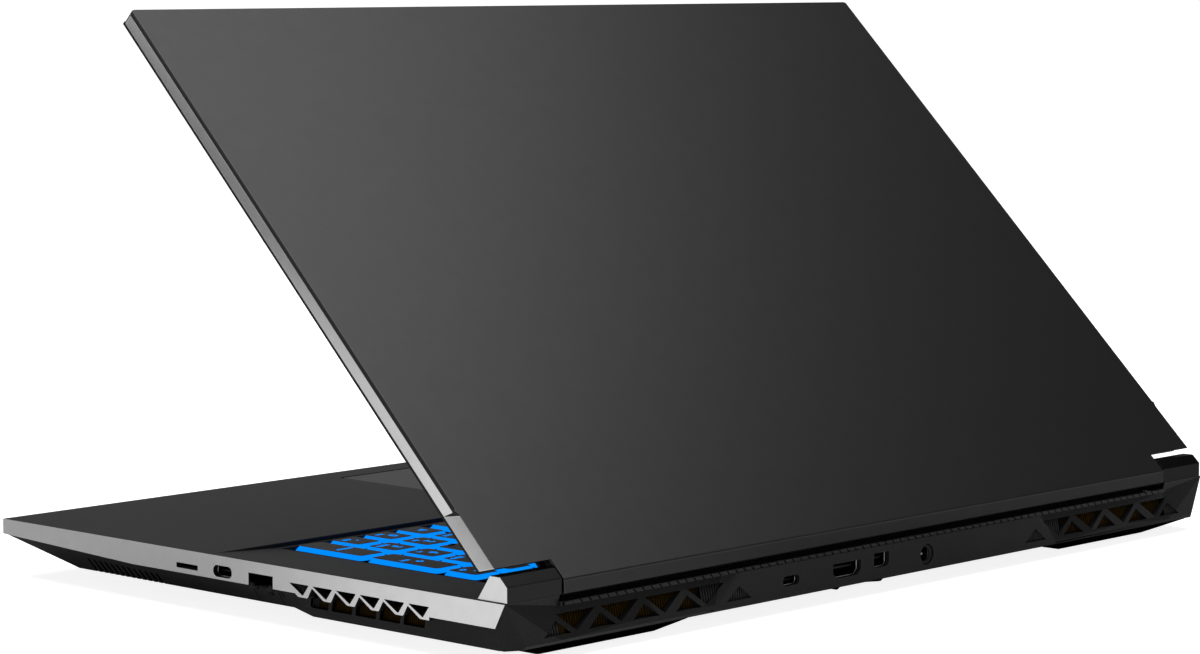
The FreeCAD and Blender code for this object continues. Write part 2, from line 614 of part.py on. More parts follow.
# Port places: side, middle along the wall, middle below the deck, width and height of the mouth
PORTS = {
    "card_slot": ("right", "rear_y - card_in", "card_below", "card_wide", "card_tall"),
    "side_oval_port": ("right", "rear_y - small_port_in", "oval_below", "oval_wide", "oval_tall"),
    "network_socket": ("right", "rear_y - net_in", "net_below", "net_wide", "net_tall"),
    "rear_oval_port": ("rear", "rear_oval_x", "rear_oval_below", "rear_oval_wide", "rear_oval_tall"),
    "wide_video_port": ("rear", "video_x", "video_below", "video_wide", "video_tall"),
    "small_video_port": ("rear", "mini_x", "mini_below", "mini_wide", "mini_tall"),
    "left_port_rear": ("left", "rear_y - usb_in", "usb_below", "usb_wide", "usb_tall"),
    "left_port_front": ("left", "rear_y - usb_in - usb_pitch", "usb_below", "usb_wide", "usb_tall"),
}
OUTSIDE = {"right": "half_width", "left": "half_width", "rear": "rear_y + port_face_out"}
AUDIO_JACKS = ("rear_y - audio_in", "rear_y - audio_in - audio_pitch")


def port_hole(port):
    """The cutter for a port's hole: an opening in the wall and room for the socket behind it.

    The network socket stands in the wall itself. Left holes are cut on the right and mirrored.
    """
    side, middle, below, width, height = PORTS[port]
    outer = OUTSIDE[side]
    margin = "2 * (socket_shell + fit_gap)"
    room_end = f"{outer} + side_wall" if port == "network_socket" else f"{outer} - port_sunk + fit_gap"
    hole = wall_box(port + "_room", side, spread(middle, f"{width} + {margin}"),
                    (f"{outer} - socket_deep - board_side_in / 2", room_end),
                    spread(below, f"{height} + {margin}"))
    if port != "network_socket":
        opening = wall_box(port + "_opening", side, spread(middle, f"{width} + 2 * fit_gap"),
                           (f"{outer} - 2 * port_sunk", f"{outer} + side_wall"),
                           spread(below, f"{height} + 2 * fit_gap"))
        hole = fused(port + "_hole", [hole, opening])
    return mirrored(port + "_hole_left", hole) if side == "left" else hole


def round_hole(name, along, start, length, radius):
    """The cutter for a round port."""
    return rod(name, along, start, length, f"{radius} + fit_gap")


AUDIO_HOLES = grouped("audio_holes", [
    round_hole(f"audio_hole_{i}", "x", ("half_width - socket_deep", middle, "deck_top - audio_below"),
               "2 * socket_deep", "audio_radius")
    for i, middle in enumerate(AUDIO_JACKS)])


def side_vents():
    """Six triangular vents in a side strip."""
    vents = []
    for i in range(6):
        front = f"rear_y - side_vent_first_in + {i} * side_vent_pitch"
        outline = [(front, "deck_top - side_vent_top"),
                   (f"{front} + side_vent_wide", "deck_top - side_vent_top"),
                   (f"{front} + side_vent_shift", "deck_top - side_vent_tip")]
        vents.append(prism(f"side_vent_{i}", "x", outline, "half_width - 2 * side_wall",
                           "half_width + side_wall"))
    return grouped("side_vents", vents)


def strip_outline():
    """Side view of the strip, whose lower edge has a notch between each two side vents."""
    outline = [("front_y", "deck_top"), ("front_y", "deck_top - strip_front_tall"),
               ("front_y + strip_mid_in", "deck_top - strip_mid_tall"),
               ("front_y + strip_full_in", "deck_top - strip_tall")]
    first = "rear_y - side_vent_first_in"
    outline.append((f"{first} + strip_step_in", "deck_top - strip_tall"))
    outline.append((f"{first} + notch_rear - side_vent_pitch", "deck_top - tooth_edge_tall"))
    for i in range(5):
        front = f"{first} + {i} * side_vent_pitch"
        outline.append((f"{front} + notch_front", "deck_top - tooth_edge_tall"))
        outline.append((f"{front} + notch_shift", "deck_top - notch_tip"))
        outline.append((f"{front} + notch_rear", "deck_top - tooth_edge_tall"))
    last = f"{first} + 5 * side_vent_pitch"
    outline.append((f"{last} + side_vent_wide", "deck_top - tooth_edge_tall"))
    outline.append((f"{last} + side_vent_wide", "deck_top - strip_tall"))
    outline.append(("rear_y - strip_end_in", "deck_top - strip_tall"))
    outline.append(("rear_y", "deck_top"))
    return outline


def make_top_case():
    """Deck with its side strips, front edge, keyboard well, trough and screw bosses."""
    deck = box("deck", ("-half_width", "front_y", "deck_top - deck_thick"),
               ("half_width", "rear_y - strip_end_in", "deck_top"))
    strip = prism("strip", "x", strip_outline(), "half_width - side_wall", "half_width")
    front_edge = box("front_edge", ("-half_width", "front_y", "deck_top - strip_front_tall"),
                     ("half_width", "front_y + side_wall", "deck_top"))
    well_pan = box("well_pan", ("-half_width + side_wall / 2", "rear_y - well_front_in - well_lip",
                                "well_under_z"),
                   ("half_width - side_wall / 2", "rear_y - well_rear_in + well_deep", "deck_top"))
    trough_low = "axis_z - trough_radius - trough_wall"
    trough_bar = box("trough_bar", ("-cap_inner", "axis_y - trough_radius - trough_wall", trough_low),
                     ("cap_inner", "rear_y - panel_front_in", "deck_top"))
    cap_seat = box("cap_seat", ("cap_inner", "rear_y - cap_deep", "deck_top - deck_thick"),
                   ("half_width", "rear_y - strip_end_in / 2", "deck_top"))
    bosses = [rod(f"boss_{i}", "z", (x, y, "floor_z"), "deck_top - deck_thick / 2 - floor_z", "boss_radius")
              for i, (x, y) in enumerate(SCREW_PLACES)]
    pieces = [deck, front_edge, well_pan, trough_bar] + bosses
    whole = fused("top_case_block", pieces + both_sides("strip_left", strip)
                  + both_sides("cap_seat_left", cap_seat))
    well = prism("well", "y", [("-ramp_outer", "deck_top + cut_over"), ("-ramp_outer", "deck_top"),
                               ("-ramp_inner", "deck_top - well_deep"),
                               ("ramp_inner", "deck_top - well_deep"),
                               ("ramp_outer", "deck_top"), ("ramp_outer", "deck_top + cut_over")],
                 "rear_y - well_front_in", "rear_y - well_rear_in")
    key_opening = box("key_opening", ("-keys_half - key_field_gap", "rear_y - keys_front_in - key_field_gap",
                                      "well_under_z - cut_over"),
                      ("keys_half + key_field_gap", "rear_y - keys_rear_in + key_field_gap", "deck_top"))
    pad_opening = box("pad_opening", ("pad_right - pad_wide - pad_gap", "rear_y - pad_front_in - pad_gap",
                                      "deck_top - 2 * deck_thick"),
                      ("pad_right + pad_gap", "rear_y - pad_front_in + pad_deep + pad_gap",
                       "deck_top + cut_over"))
    button_x = spread("button_x", "button_wide + 2 * fit_gap")
    button_y = spread("rear_y - button_in", "button_deep + 2 * fit_gap")
    button_opening = box("button_opening", (button_x[0], button_y[0], "deck_top - 2 * deck_thick"),
                         (button_x[1], button_y[1], "deck_top + cut_over"))
    trough = rod("trough", "x", ("-cap_inner", "axis_y", "axis_z"), "2 * cap_inner", "trough_radius")
    web_x = ("cap_inner + barrel_in - fit_gap", "cap_inner + barrel_in + barrel_long + fit_gap")
    web_slot = box("web_slot", (web_x[0], "axis_y - barrel_radius - fit_gap", "deck_top - 2 * deck_thick"),
                   (web_x[1], "axis_y + barrel_radius + fit_gap", "deck_top + cut_over"))
    screw_bores = [rod(f"boss_bore_{i}", "z", (x, y, "floor_z - cut_over"), "bottom_screw_long + cut_over",
                       "screw_radius + pin_gap")
                   for i, (x, y) in enumerate(SCREW_PLACES)]
    vents = side_vents()
    holes = [port_hole(port) for port in PORTS if PORTS[port][0] != "rear"]
    tools = [well, key_opening, pad_opening, button_opening, trough] + screw_bores + holes
    tools += both_sides("web_slot_left", web_slot) + both_sides("side_vents_left", vents)
    tools.append(mirrored("audio_holes_left", AUDIO_HOLES))
    node("top_case", cut("top_case", whole, tools))


SCREW_PLACES = [(f"{sign}(half_width - bottom_screw_{side}_in)", f"rear_y - bottom_screw_{row}_in")
                for sign in ("", "-")
                for side, row in (("inner", "front"), ("side", "mid"), ("side", "rear"))]


def cover_form(name, inset, top):
    """The bottom cover's outer form, or the hollow in it when an inset is given."""
    sides = [("half_width - cover_top_in - {0}", "deck_top - strip_front_tall"),
             ("cover_foot_half - {0}", "foot_tall + {0}"),
             ("-cover_foot_half + {0}", "foot_tall + {0}"),
             ("-half_width + cover_top_in + {0}", "deck_top - strip_front_tall")]
    sides = [(a.format(inset), b.format(inset)) for a, b in sides]
    tray = prism(name + "_tray", "y", sides, "front_y", "rear_y")
    taper = "rear_y - vent_block_long - vent_block_taper"
    half = f"vent_block_half - {inset}"
    narrow = f"cover_foot_half - {inset}"
    plan = [(half, "rear_y - panel_front_in"), (half, f"rear_y - vent_block_long + {inset}"),
            (narrow, f"{taper} + {inset}"), (f"-({narrow})", f"{taper} + {inset}"),
            (f"-({half})", f"rear_y - vent_block_long + {inset}"), (f"-({half})", "rear_y - panel_front_in")]
    block = prism(name + "_block", "z", plan, f"foot_tall + {inset}", "deck_top - strip_front_tall")
    fall = "(strip_mid_tall - strip_front_tall) * cover_top_in / strip_mid_in"
    profile = [(f"front_y + {inset} + cover_top_in", f"deck_top - strip_front_tall - {fall} + {top}"),
               (f"front_y + cover_nose_in + {inset} / 2", f"foot_tall + {inset}"),
               ("rear_y - panel_front_in", f"foot_tall + {inset}"),
               ("rear_y - panel_front_in", f"deck_top - strip_tall + {top}"),
               ("front_y + strip_full_in", f"deck_top - strip_tall + {top}"),
               ("front_y + strip_mid_in", f"deck_top - strip_mid_tall + {top}")]
    side_view = prism(name + "_profile", "x", profile, "-half_width", "half_width")
    return common(name, [fused(name + "_sides", [tray, block]), side_view])


def side_windows():
    """Windows in the bottom cover under the notches of a side strip."""
    windows = []
    for i in range(5):
        front = f"rear_y - side_vent_first_in + {i} * side_vent_pitch + window_front"
        outline = [(front, "deck_top - strip_tall + cut_over"),
                   (f"{front} + window_wide", "deck_top - strip_tall + cut_over"),
                   (f"{front} + window_wide - window_lean", "deck_top - window_foot"),
                   (f"{front} - window_lean", "deck_top - window_foot")]
        windows.append(prism(f"side_window_{i}", "x", outline, "vent_block_half - 2 * shell_wall",
                             "half_width"))
    return grouped("side_windows", windows)


def speaker_slits():
    """Thirteen upright slits in the cover's slanted side, from below the strip round the lower edge."""
    slits = []
    rise = "(strip_tall - strip_mid_tall) / (strip_full_in - strip_mid_in)"
    for i in range(13):
        y = f"rear_y - slit_rear_in - {i} * slit_pitch"
        ahead = f"(front_y + strip_full_in - ({y}))"
        top = f"deck_top - strip_tall - slit_below + {ahead} * {rise}"
        slits.append(box(f"speaker_slit_{i}", ("half_width - slit_reach", y, "foot_tall - cut_over"),
                         ("half_width", f"{y} + slit_wide", top)))
    return grouped("speaker_slits", slits)


def intake_slots():
    """Slots in the bottom under a fan."""
    slots = []
    for i in range(-5, 6):
        reach = f"intake_long / 2 - {i * i} * intake_round"
        slots.append(box(f"intake_slot_{i + 5}",
                         (f"fan_x - ({reach})", f"fan_y + {i} * intake_pitch - intake_wide / 2",
                          "foot_tall - cut_over"),
                         (f"fan_x + ({reach})", f"fan_y + {i} * intake_pitch + intake_wide / 2",
                          "floor_z + cut_over")))
    return grouped("intake_slots", slots)


def make_bottom_cover():
    """Black tray under the base, with its slits, windows, intakes and screw holes."""
    outer = cover_form("cover_outer", "0", "0")
    hollow = cover_form("cover_hollow", "shell_wall", "strip_front_tall")
    shell = cut("cover_shell", outer, [hollow])
    holes = [rod(f"cover_screw_hole_{i}", "z", (x, y, "foot_tall - cut_over"), "shell_wall + 2 * cut_over",
                 "screw_radius + pin_gap")
             for i, (x, y) in enumerate(SCREW_PLACES)]
    heads = [rod(f"cover_head_seat_{i}", "z", (x, y, "foot_tall - cut_over"), "cut_over + screw_head_tall",
                 "bottom_screw_head + fit_gap")
             for i, (x, y) in enumerate(SCREW_PLACES)]
    tools = both_sides("windows_left", side_windows()) + both_sides("slits_left", speaker_slits())
    tools += both_sides("intakes_left", intake_slots()) + holes + heads
    tools.append(port_hole("network_socket"))
    node("bottom_cover", cut("bottom_cover", shell, tools))
    screws = [fused(f"bottom_screw_{i}", [
        rod(f"bottom_screw_shank_{i}", "z", (x, y, "foot_tall + bottom_screw_sunk"), "bottom_screw_long",
            "screw_radius"),
        rod(f"bottom_screw_cap_{i}", "z", (x, y, "foot_tall + bottom_screw_sunk"),
            "screw_head_tall - bottom_screw_sunk", "bottom_screw_head")])
        for i, (x, y) in enumerate(SCREW_PLACES)]
    node("bottom_screws", grouped("bottom_screws", screws))


def rear_vents():
    """Upper and lower triangular vents on the right half of the rear panel."""
    vents = []
    for i in range(4):
        upper = f"half_width - vent_first_in - {i} * vent_pitch"
        lower = f"half_width - vent_lower_first_in - {i} * vent_pitch"
        outlines = ([(upper, "deck_top - vent_upper_top"),
                     (f"{upper} - vent_upper_wide", "deck_top - vent_upper_top"),
                     (f"{upper} - vent_tip_shift", "deck_top - vent_upper_tip")],
                    [(lower, "deck_top - vent_lower_foot"),
                     (f"{lower} - vent_lower_wide", "deck_top - vent_lower_foot"),
                     (f"{lower} - vent_lower_shift", "deck_top - vent_lower_tip")])
        for kind, outline in zip(("upper", "lower"), outlines):
            vents.append(prism(f"rear_vent_{kind}_{i}", "y", outline, "rear_y - panel_front_in - cut_over",
                               "rear_y + 2 * rear_bulge"))
    whole = grouped("rear_vents", vents)
    lip = prism("vent_lip_slab", "x", [(vent_face("vent_top", "vent_lip"), "vent_top"),
                                       (vent_face("foot_tall", "vent_lip"), "foot_tall"),
                                       ("rear_y + 2 * rear_bulge", "foot_tall"),
                                       ("rear_y + 2 * rear_bulge", "vent_top")], "0", "half_width")
    return [common("vent_mouths", [whole, lip]), common("vent_throats", [whole, fin_zone("vent_zone")])]


def vent_face(height, depth):
    """How far back the slanted vent face lies at a height, or a plane at a depth behind it."""
    slope = "(rear_bulge + vent_face_in) / (vent_top - foot_tall)"
    return f"rear_y - vent_face_in - {depth} + (vent_top - ({height})) * {slope}"


def fin_zone(name):
    """A block across the rear panel, as wide as the fins behind it."""
    return box(name, ("fins_inner - fit_gap", "rear_y - panel_front_in - cut_over", "foot_tall"),
               ("fins_outer + fit_gap", "rear_y + 2 * rear_bulge", "deck_top"))


def make_rear_panel():
    """Rear panel with its ledge, vent faces, port face and faceted corners."""
    foot, back = "foot_tall", "rear_y - panel_front_in"
    vent_end = "half_width - vent_end_in"
    face = [(back, "deck_top - ledge_below"), ("rear_y + panel_ledge", "deck_top - ledge_below"),
            ("rear_y + panel_ledge", "vent_top"), ("rear_y - vent_face_in", "vent_top"),
            ("rear_y + rear_bulge", foot), (back, foot)]
    bar = prism("rear_bar", "x", face, f"-({vent_end})", vent_end)
    top, low = "vent_top", "foot_tall"
    out, sunk = "rear_y + port_face_out", "rear_y - vent_face_in"
    port_face = convex_solid("port_face", [
        (f"{sign}({half})", y, z) for sign in ("", "-")
        for half, y, z in (("port_top_half", out, top), ("port_foot_half", out, low),
                           ("port_top_half + port_flank", sunk, top),
                           ("port_foot_half + port_flank", sunk, low))])
    peak = ("half_width - fit_gap", "rear_y", "deck_top")
    crease = (vent_end, "rear_y - vent_face_in", "vent_top")
    front_edge = [("half_width - fit_gap", "rear_y - strip_end_in", "deck_top - strip_tall"),
                  (vent_end, back, "deck_top - strip_tall")]
    facet = convex_solid("rear_corner_facet", front_edge + [
        peak, crease, (vent_end, "rear_y + rear_bulge", foot),
        ("half_width - corner_foot_in", "rear_y + rear_bulge", foot),
        ("half_width - corner_side_in", "rear_y - corner_side_back", foot),
        ("half_width - corner_side_in", back, foot), (vent_end, back, foot)])
    brow = convex_solid("rear_corner_brow", front_edge + [peak, crease, (vent_end, "rear_y", "deck_top")])
    corner = fused("rear_corner", [facet, brow])
    whole = fused("rear_panel_block", [bar, port_face] + both_sides("rear_corner_left", corner))
    trough = rod("panel_trough", "x", ("-cap_inner", "axis_y", "axis_z"), "2 * cap_inner", "trough_radius")
    hollow_top, hollow_front = "deck_top - vent_upper_top + fit_gap", "rear_y - panel_front_in - cut_over"
    outline = [(hollow_front, "floor_z"), (vent_face("floor_z", "panel_hollow"), "floor_z"),
               (vent_face(hollow_top, "panel_hollow"), hollow_top), (hollow_front, hollow_top)]
    hollow = prism("fin_hollow", "x", outline, "fins_inner - fit_gap", "fins_outer + fit_gap")
    mark_top = "deck_top - mark_vent_tip"
    marks = prism("mark_vent", "y", [("mark_vent_half", mark_top),
                                     ("mark_vent_half - mark_vent_wide / 2", f"{mark_top} - mark_vent_tall"),
                                     ("mark_vent_half + mark_vent_wide / 2", f"{mark_top} - mark_vent_tall")],
                  "rear_y + port_face_out - mark_vent_deep", "rear_y + 2 * rear_bulge")
    inlet = round_hole("inlet_hole", "y", ("power_x", "rear_y - socket_deep", "deck_top - power_below"),
                       "2 * socket_deep", "power_radius")
    tools = [trough, inlet] + [port_hole(port) for port in PORTS if PORTS[port][0] == "rear"]
    for shape in [hollow, marks] + rear_vents():
        tools += both_sides(shape.Name + "_left", shape)
    node("rear_panel", cut("rear_panel", whole, tools))


def make_teeth():
    """A thin strip under the chin with a row of leaning teeth."""
    start, end = "-half_width + teeth_in", "half_width - teeth_in"
    count = int(value("(base_width - 2 * teeth_in) / tooth_pitch"))
    foot = "deck_top - ledge_below - tooth_tall"
    seat = "rear_y + panel_ledge"
    strip = box("teeth_strip", (start, seat, foot), (end, f"{seat} + teeth_web", f"{foot} + tooth_tall"))
    tooth = [("0", foot), ("tooth_wide", foot), ("tooth_wide + tooth_lean", f"{foot} + tooth_tall"),
             ("tooth_lean", f"{foot} + tooth_tall")]
    body = prism("tooth", "y", [(f"-half_width + teeth_in + {x}", z) for x, z in tooth], seat,
                 f"{seat} + tooth_thick")
    pad = body.Tip
    row = body.newObject("PartDesign::LinearPattern", "tooth_row")
    row.Originals = [pad]
    row.Direction = ([item for item in body.Origin.OriginFeatures if item.Role == "X_Axis"][0], [""])
    row.Occurrences = count - 1
    bind(row, "Length", f"{count - 2} * tooth_pitch")
    body.Tip = row
    node("rear_teeth", fused("rear_teeth", [strip, body]))


def make_hinges():
    """Hinge caps, fixed barrels with their foot plates, and the arms and pins that turn with the lid."""
    profile = [("rear_y", "deck_top"), ("rear_y", "deck_top + cap_back_tall"),
               ("rear_y - cap_slope", "deck_top + cap_tall"), ("rear_y - cap_top_in", "deck_top + cap_tall"),
               ("rear_y - cap_deep", "deck_top")]
    block = prism("cap_block", "x", profile, "cap_inner", "cap_outer")
    barrel_start = "cap_inner + barrel_in"
    barrel_end = f"{barrel_start} + barrel_long"
    room = rod("cap_bore", "x", ("cap_inner - cut_over", "axis_y", "axis_z"),
               "cut_over + barrel_in + barrel_long + fit_gap",
               "barrel_radius + barrel_gap")
    web_room = box("cap_slot",
                   ("cap_inner - cut_over", "axis_y - barrel_radius - barrel_gap", "deck_top - cut_over"),
                   (f"{barrel_end} + fit_gap", "axis_y + barrel_radius + barrel_gap", "axis_z"))
    cap = cut("hinge_cap_right", block, [room, web_room])
    node("hinge_cap_right", cap)
    node("hinge_cap_left", mirrored("hinge_cap_left", cap))
    barrel = rod("barrel", "x", (barrel_start, "axis_y", "axis_z"), "barrel_long", "barrel_radius")
    plate_top = "deck_top - deck_thick"
    web = box("hinge_web", (barrel_start, "axis_y - web_thick / 2", f"{plate_top} - foot_plate_thick"),
              (barrel_end, "axis_y + web_thick / 2", "axis_z"))
    plate = box("hinge_plate",
                (barrel_start, "axis_y - foot_plate_long + web_thick / 2", f"{plate_top} - foot_plate_thick"),
                (barrel_end, "axis_y + web_thick / 2", plate_top))
    bore = rod("barrel_bore", "x", (f"{barrel_start} - cut_over", "axis_y", "axis_z"),
               "barrel_long + 2 * cut_over",
               "pin_radius + pin_gap")
    bracket = cut("hinge_bracket_right", fused("bracket_block", [barrel, web, plate]), [bore])
    node("hinge_bracket_right", bracket)
    node("hinge_bracket_left", mirrored("hinge_bracket_left", bracket))
    arm_start = "chin_half - arm_long"
    pin = rod("pin_right", "x", (arm_start, "0", "0"), f"{barrel_end} - pin_short - ({arm_start})",
              "pin_radius")
    boss = rod("arm_boss", "x", (arm_start, "0", "0"), "arm_long", "barrel_radius")
    neck = box("arm_neck", (arm_start, "-barrel_radius", "0"), ("chin_half", "barrel_radius", "lid_inner"))
    leaf = box("arm_leaf_plate", (arm_start, "-arm_reach", "lid_inner - arm_leaf"),
               ("chin_half", "barrel_radius", "lid_inner"))
    arm_bore = rod("arm_bore", "x", (f"{arm_start} - cut_over", "0", "0"), "arm_long + 2 * cut_over",
                   "pin_radius")
    screw_holes = [rod(f"arm_screw_hole_{i}", "z", (x, "-arm_reach + arm_screw_in", "0"), "lid_inner",
                       "screw_radius + pin_gap")
                   for i, x in enumerate(ARM_SCREWS)]
    arm = cut("arm_right", fused("arm_block", [boss, neck, leaf]), [arm_bore] + screw_holes)
    screws = []
    for i, x in enumerate(ARM_SCREWS):
        under = "lid_inner - arm_leaf"
        shank = rod(f"arm_screw_shank_{i}", "z", (x, "-arm_reach + arm_screw_in", under), "arm_leaf",
                    "screw_radius")
        head = rod(f"arm_screw_head_{i}", "z",
                   (x, "-arm_reach + arm_screw_in", f"{under} - screw_head_tall"), "screw_head_tall",
                   "screw_head")
        screws.append(fused(f"arm_screw_{i}", [shank, head]))
    for label, piece in (("hinge_pin", pin), ("hinge_arm", arm)):
        lid_node(label + "_right", grouped(label + "_right", [piece]))
        lid_node(label + "_left", grouped(label + "_left", [mirrored(label + "_mirror", piece)]))
    pair = grouped("arm_screws", screws)
    lid_node("hinge_screws", grouped("hinge_screws", both_sides("arm_screws_left", pair)))


ARM_SCREWS = ("chin_half - arm_long + arm_screw_in", "chin_half - arm_screw_in")


def make_lid():
    """Lid cover, bezel, display panel, camera and bumpers, drawn closed about the hinge axis."""
    edge = "half_width"
    ear = [("lid_far", "lid_rim"), ("lid_far", "lid_back"), ("-ear_from_axis", "lid_back"),
           ("-ear_from_axis - ear_slant", "lid_rim")]
    plate = prism("lid_plate", "x", ear, f"-{edge}", edge)
    chin = [("-chin_root", "lid_rim"), ("-chin_root", "lid_back"), ("chin_flat", "lid_back"),
            ("chin_tip", "lid_back - chin_bevel"), ("chin_tip - chin_under", "lid_face"),
            ("-chin_step", "lid_face"),
            ("-chin_step", "lid_rim")]
    chin_bar = prism("chin_bar", "x", chin, "-chin_half", "chin_half")
    block = fused("lid_block", [plate, chin_bar])
    hollow = box("lid_hollow", (f"-{edge} + lid_wall", "lid_far + lid_wall", "lid_rim - cut_over"),
                 (f"{edge} - lid_wall", "-chin_root", "lid_inner"))
    pocket = box("arm_pocket",
                 ("chin_half - arm_long - fit_gap", "-chin_root - cut_over", "lid_face - cut_over"),
                 ("chin_half + cut_over", "barrel_radius + fit_gap", "lid_inner"))
    chamfer = prism("edge_chamfer", "y",
                    [(f"{edge} - lid_edge", "lid_back"),
                     (f"{edge} + cut_over", "lid_back - lid_edge - cut_over"),
                     (f"{edge} + cut_over", "lid_back + cut_over"),
                     (f"{edge} - lid_edge", "lid_back + cut_over")],
                    "lid_far - cut_over", "-ear_from_axis - ear_plain")
    tools = [hollow] + both_sides("arm_pocket_left", pocket) + both_sides("edge_chamfer_left", chamfer)
    shell = cut("lid_shell", block, tools)
    doc.recompute()
    lid_node("lid_cover", rounded("lid_cover", shell, "lid_corner", is_lid_corner))
    make_bezel()
    make_screen()


def is_lid_corner(edge):
    """True for the two upright edges at the lid's outer corners."""
    box_of = edge.BoundBox
    upright = box_of.ZLength > value("lid_thick") / 2 and box_of.XLength < 1e-6 and box_of.YLength < 1e-6
    return upright and abs(box_of.YMin - value("lid_far")) < 1e-3


def rounded(name, base, radius, wanted):
    """A solid with some of its edges rounded."""
    fillet = doc.addObject("Part::Fillet", name)
    fillet.Base = base
    size = value(radius)
    fillet.Edges = [(i, size, size) for i, edge in enumerate(base.Shape.Edges, 1) if wanted(edge)]
    return fillet


def make_bezel():
    """Black frame round the screen."""
    edge = "half_width - bezel_inset"
    ear_end, tab_end = "-ear_from_axis - ear_slant - bezel_inset", "-chin_step - fit_gap"
    outline = [(f"-({edge})", "lid_far + bezel_inset"), (edge, "lid_far + bezel_inset"), (edge, ear_end),
               ("chin_half", ear_end), ("chin_half", tab_end), ("-chin_half", tab_end),
               ("-chin_half", ear_end),
               (f"-({edge})", ear_end)]
    frame = prism("bezel_plate", "z", outline, "lid_face", "lid_rim")
    opening = box("screen_opening", ("-screen_wide / 2", "lid_far + screen_top_in", "lid_face - cut_over"),
                  ("screen_wide / 2", "lid_far + screen_top_in + screen_tall", "lid_rim + cut_over"))
    lens_hole = rod("lens_hole", "z", ("0", "lid_far + camera_in + camera_tall / 2", "lid_face - cut_over"),
                    "bezel_thick + 2 * cut_over", "lens_radius + fit_gap")
    pocket = box("bezel_arm_room",
                 ("chin_half - arm_long - fit_gap", "-barrel_radius - fit_gap", "lid_face - cut_over"),
                 ("chin_half + cut_over", "0", "lid_rim + cut_over"))
    lid_node("screen_bezel",
             cut("screen_bezel", frame, [opening, lens_hole] + both_sides("bezel_arm_room_left", pocket)))


def make_screen():
    """Display panel behind the bezel, camera board with its lens, and rubber bumpers."""
    panel = box("panel_block", ("-panel_wide / 2", "lid_far + panel_top_in", "lid_rim"),
                ("panel_wide / 2", "lid_far + panel_top_in + panel_tall", "lid_rim + panel_thick"))
    lid_node("display_panel", grouped("display_panel", [panel]))
    board = box("camera_board", ("-camera_wide / 2", "lid_far + camera_in", "lid_rim"),
                ("camera_wide / 2", "lid_far + camera_in + camera_tall", "lid_rim + camera_thick"))
    lens = rod("camera_lens", "z", ("0", "lid_far + camera_in + camera_tall / 2", "lid_face + lens_sunk"),
               "bezel_thick - lens_sunk", "lens_radius")
    lid_node("camera_module", fused("camera_module", [board, lens]))
    bumpers = []
    for i, y in enumerate(("lid_far + bumper_in", "-ear_from_axis - ear_plain")):
        outer = "half_width - bumper_side_in"
        bumper = box(f"bumper_{i}", (f"{outer} - bumper_long", y, "lid_face - bumper_thick"),
                     (outer, f"{y} + bumper_wide", "lid_face"))
        bumpers += both_sides(f"bumper_left_{i}", bumper)
    lid_node("lid_bumpers", grouped("lid_bumpers", bumpers))


# Key rows from the front: name, start of the row, pitch, widths in key pitches
MAIN_START = "-keys_half"
PAD_START = "keys_half - 4 * numpad_pitch"
KEY_ROWS = [
    ("keys_modifier_row", 0, [1.25, 1, 1, 1.25], 0),
    ("keys_modifier_row", 0, [1.25, 1, 1.25, 1, 1], 9.5),
    ("key_space_bar", 0, [5], 4.5),
    ("keys_shift_row", 1, [2.25] + [1] * 10 + [1.75, 1], 0),
    ("keys_home_row", 2, [1.75] + [1] * 11 + [2.25], 0),
    ("keys_tab_row", 3, [1.5] + [1] * 12 + [1.5], 0),
    ("keys_number_row", 4, [1] * 13 + [2], 0),
]
FUNCTION_KEYS = 19


def key(name, x, y, width, depth):
    """A key cap that narrows upwards, with the stem that guides it in the key plate."""
    cap = doc.addObject("Part::Wedge", name + "_cap")
    cap.Placement = FreeCAD.Placement(V(), FreeCAD.Rotation(V(1, 0, 0), 90))
    sizes = {"Xmin": "0", "Ymin": "0", "Zmin": "0", "X2min": "key_slope", "Z2min": "key_slope",
             "Xmax": width, "Ymax": "key_tall", "Zmax": depth, "X2max": f"{width} - key_slope",
             "Z2max": f"{depth} - key_slope"}
    for prop, text in sizes.items():
        bind(cap, prop, text)
    place(cap, x, f"{y} + {depth}", "key_foot_z")
    low = "key_plate_z - plate_thick - stem_below"
    middle = (f"{x} + ({width}) / 2", f"{y} + ({depth}) / 2")
    stem = rod(name + "_stem", "z", middle + (low,), f"key_foot_z - ({low})", "stem_radius")
    STEMS.append(middle)
    return fused(name, [cap, stem])


STEMS = []


def make_keys():
    """All key rows, each key a solid of its own."""
    rows = {}
    for label, row, widths, start in KEY_ROWS:
        at = start
        y = f"rear_y - keys_front_in + {row} * row_pitch"
        for width in widths:
            keys = rows.setdefault(label, [])
            keys.append(key(f"{label}_{len(keys)}", f"{MAIN_START} + {at} * main_pitch", y,
                            f"({width} * main_pitch - key_gap)", "(row_pitch - key_gap)"))
            at += width
    pad = rows.setdefault("keys_number_pad", [])
    for column in range(4):
        for row in range(5):
            x = f"{PAD_START} + {column} * numpad_pitch"
            y = f"rear_y - keys_front_in + {row} * row_pitch"
            tall = column == 3 and row in (0, 2)
            if column == 3 and row in (1, 3):
                continue
            depth = f"({2 if tall else 1} * row_pitch - key_gap)"
            pad.append(key(f"keys_number_pad_{len(pad)}", x, y, "(numpad_pitch - key_gap)", depth))
    top = rows.setdefault("keys_function_row", [])
    pitch = f"(2 * keys_half / {FUNCTION_KEYS})"
    for i in range(FUNCTION_KEYS):
        top.append(key(f"keys_function_row_{i}", f"{MAIN_START} + {i} * {pitch}",
                       "rear_y - keys_front_in + 5 * row_pitch + top_row_gap", f"({pitch} - key_gap)",
                       "(top_row_pitch - key_gap)"))
    for label, keys in rows.items():
        node(label, grouped(label, keys))


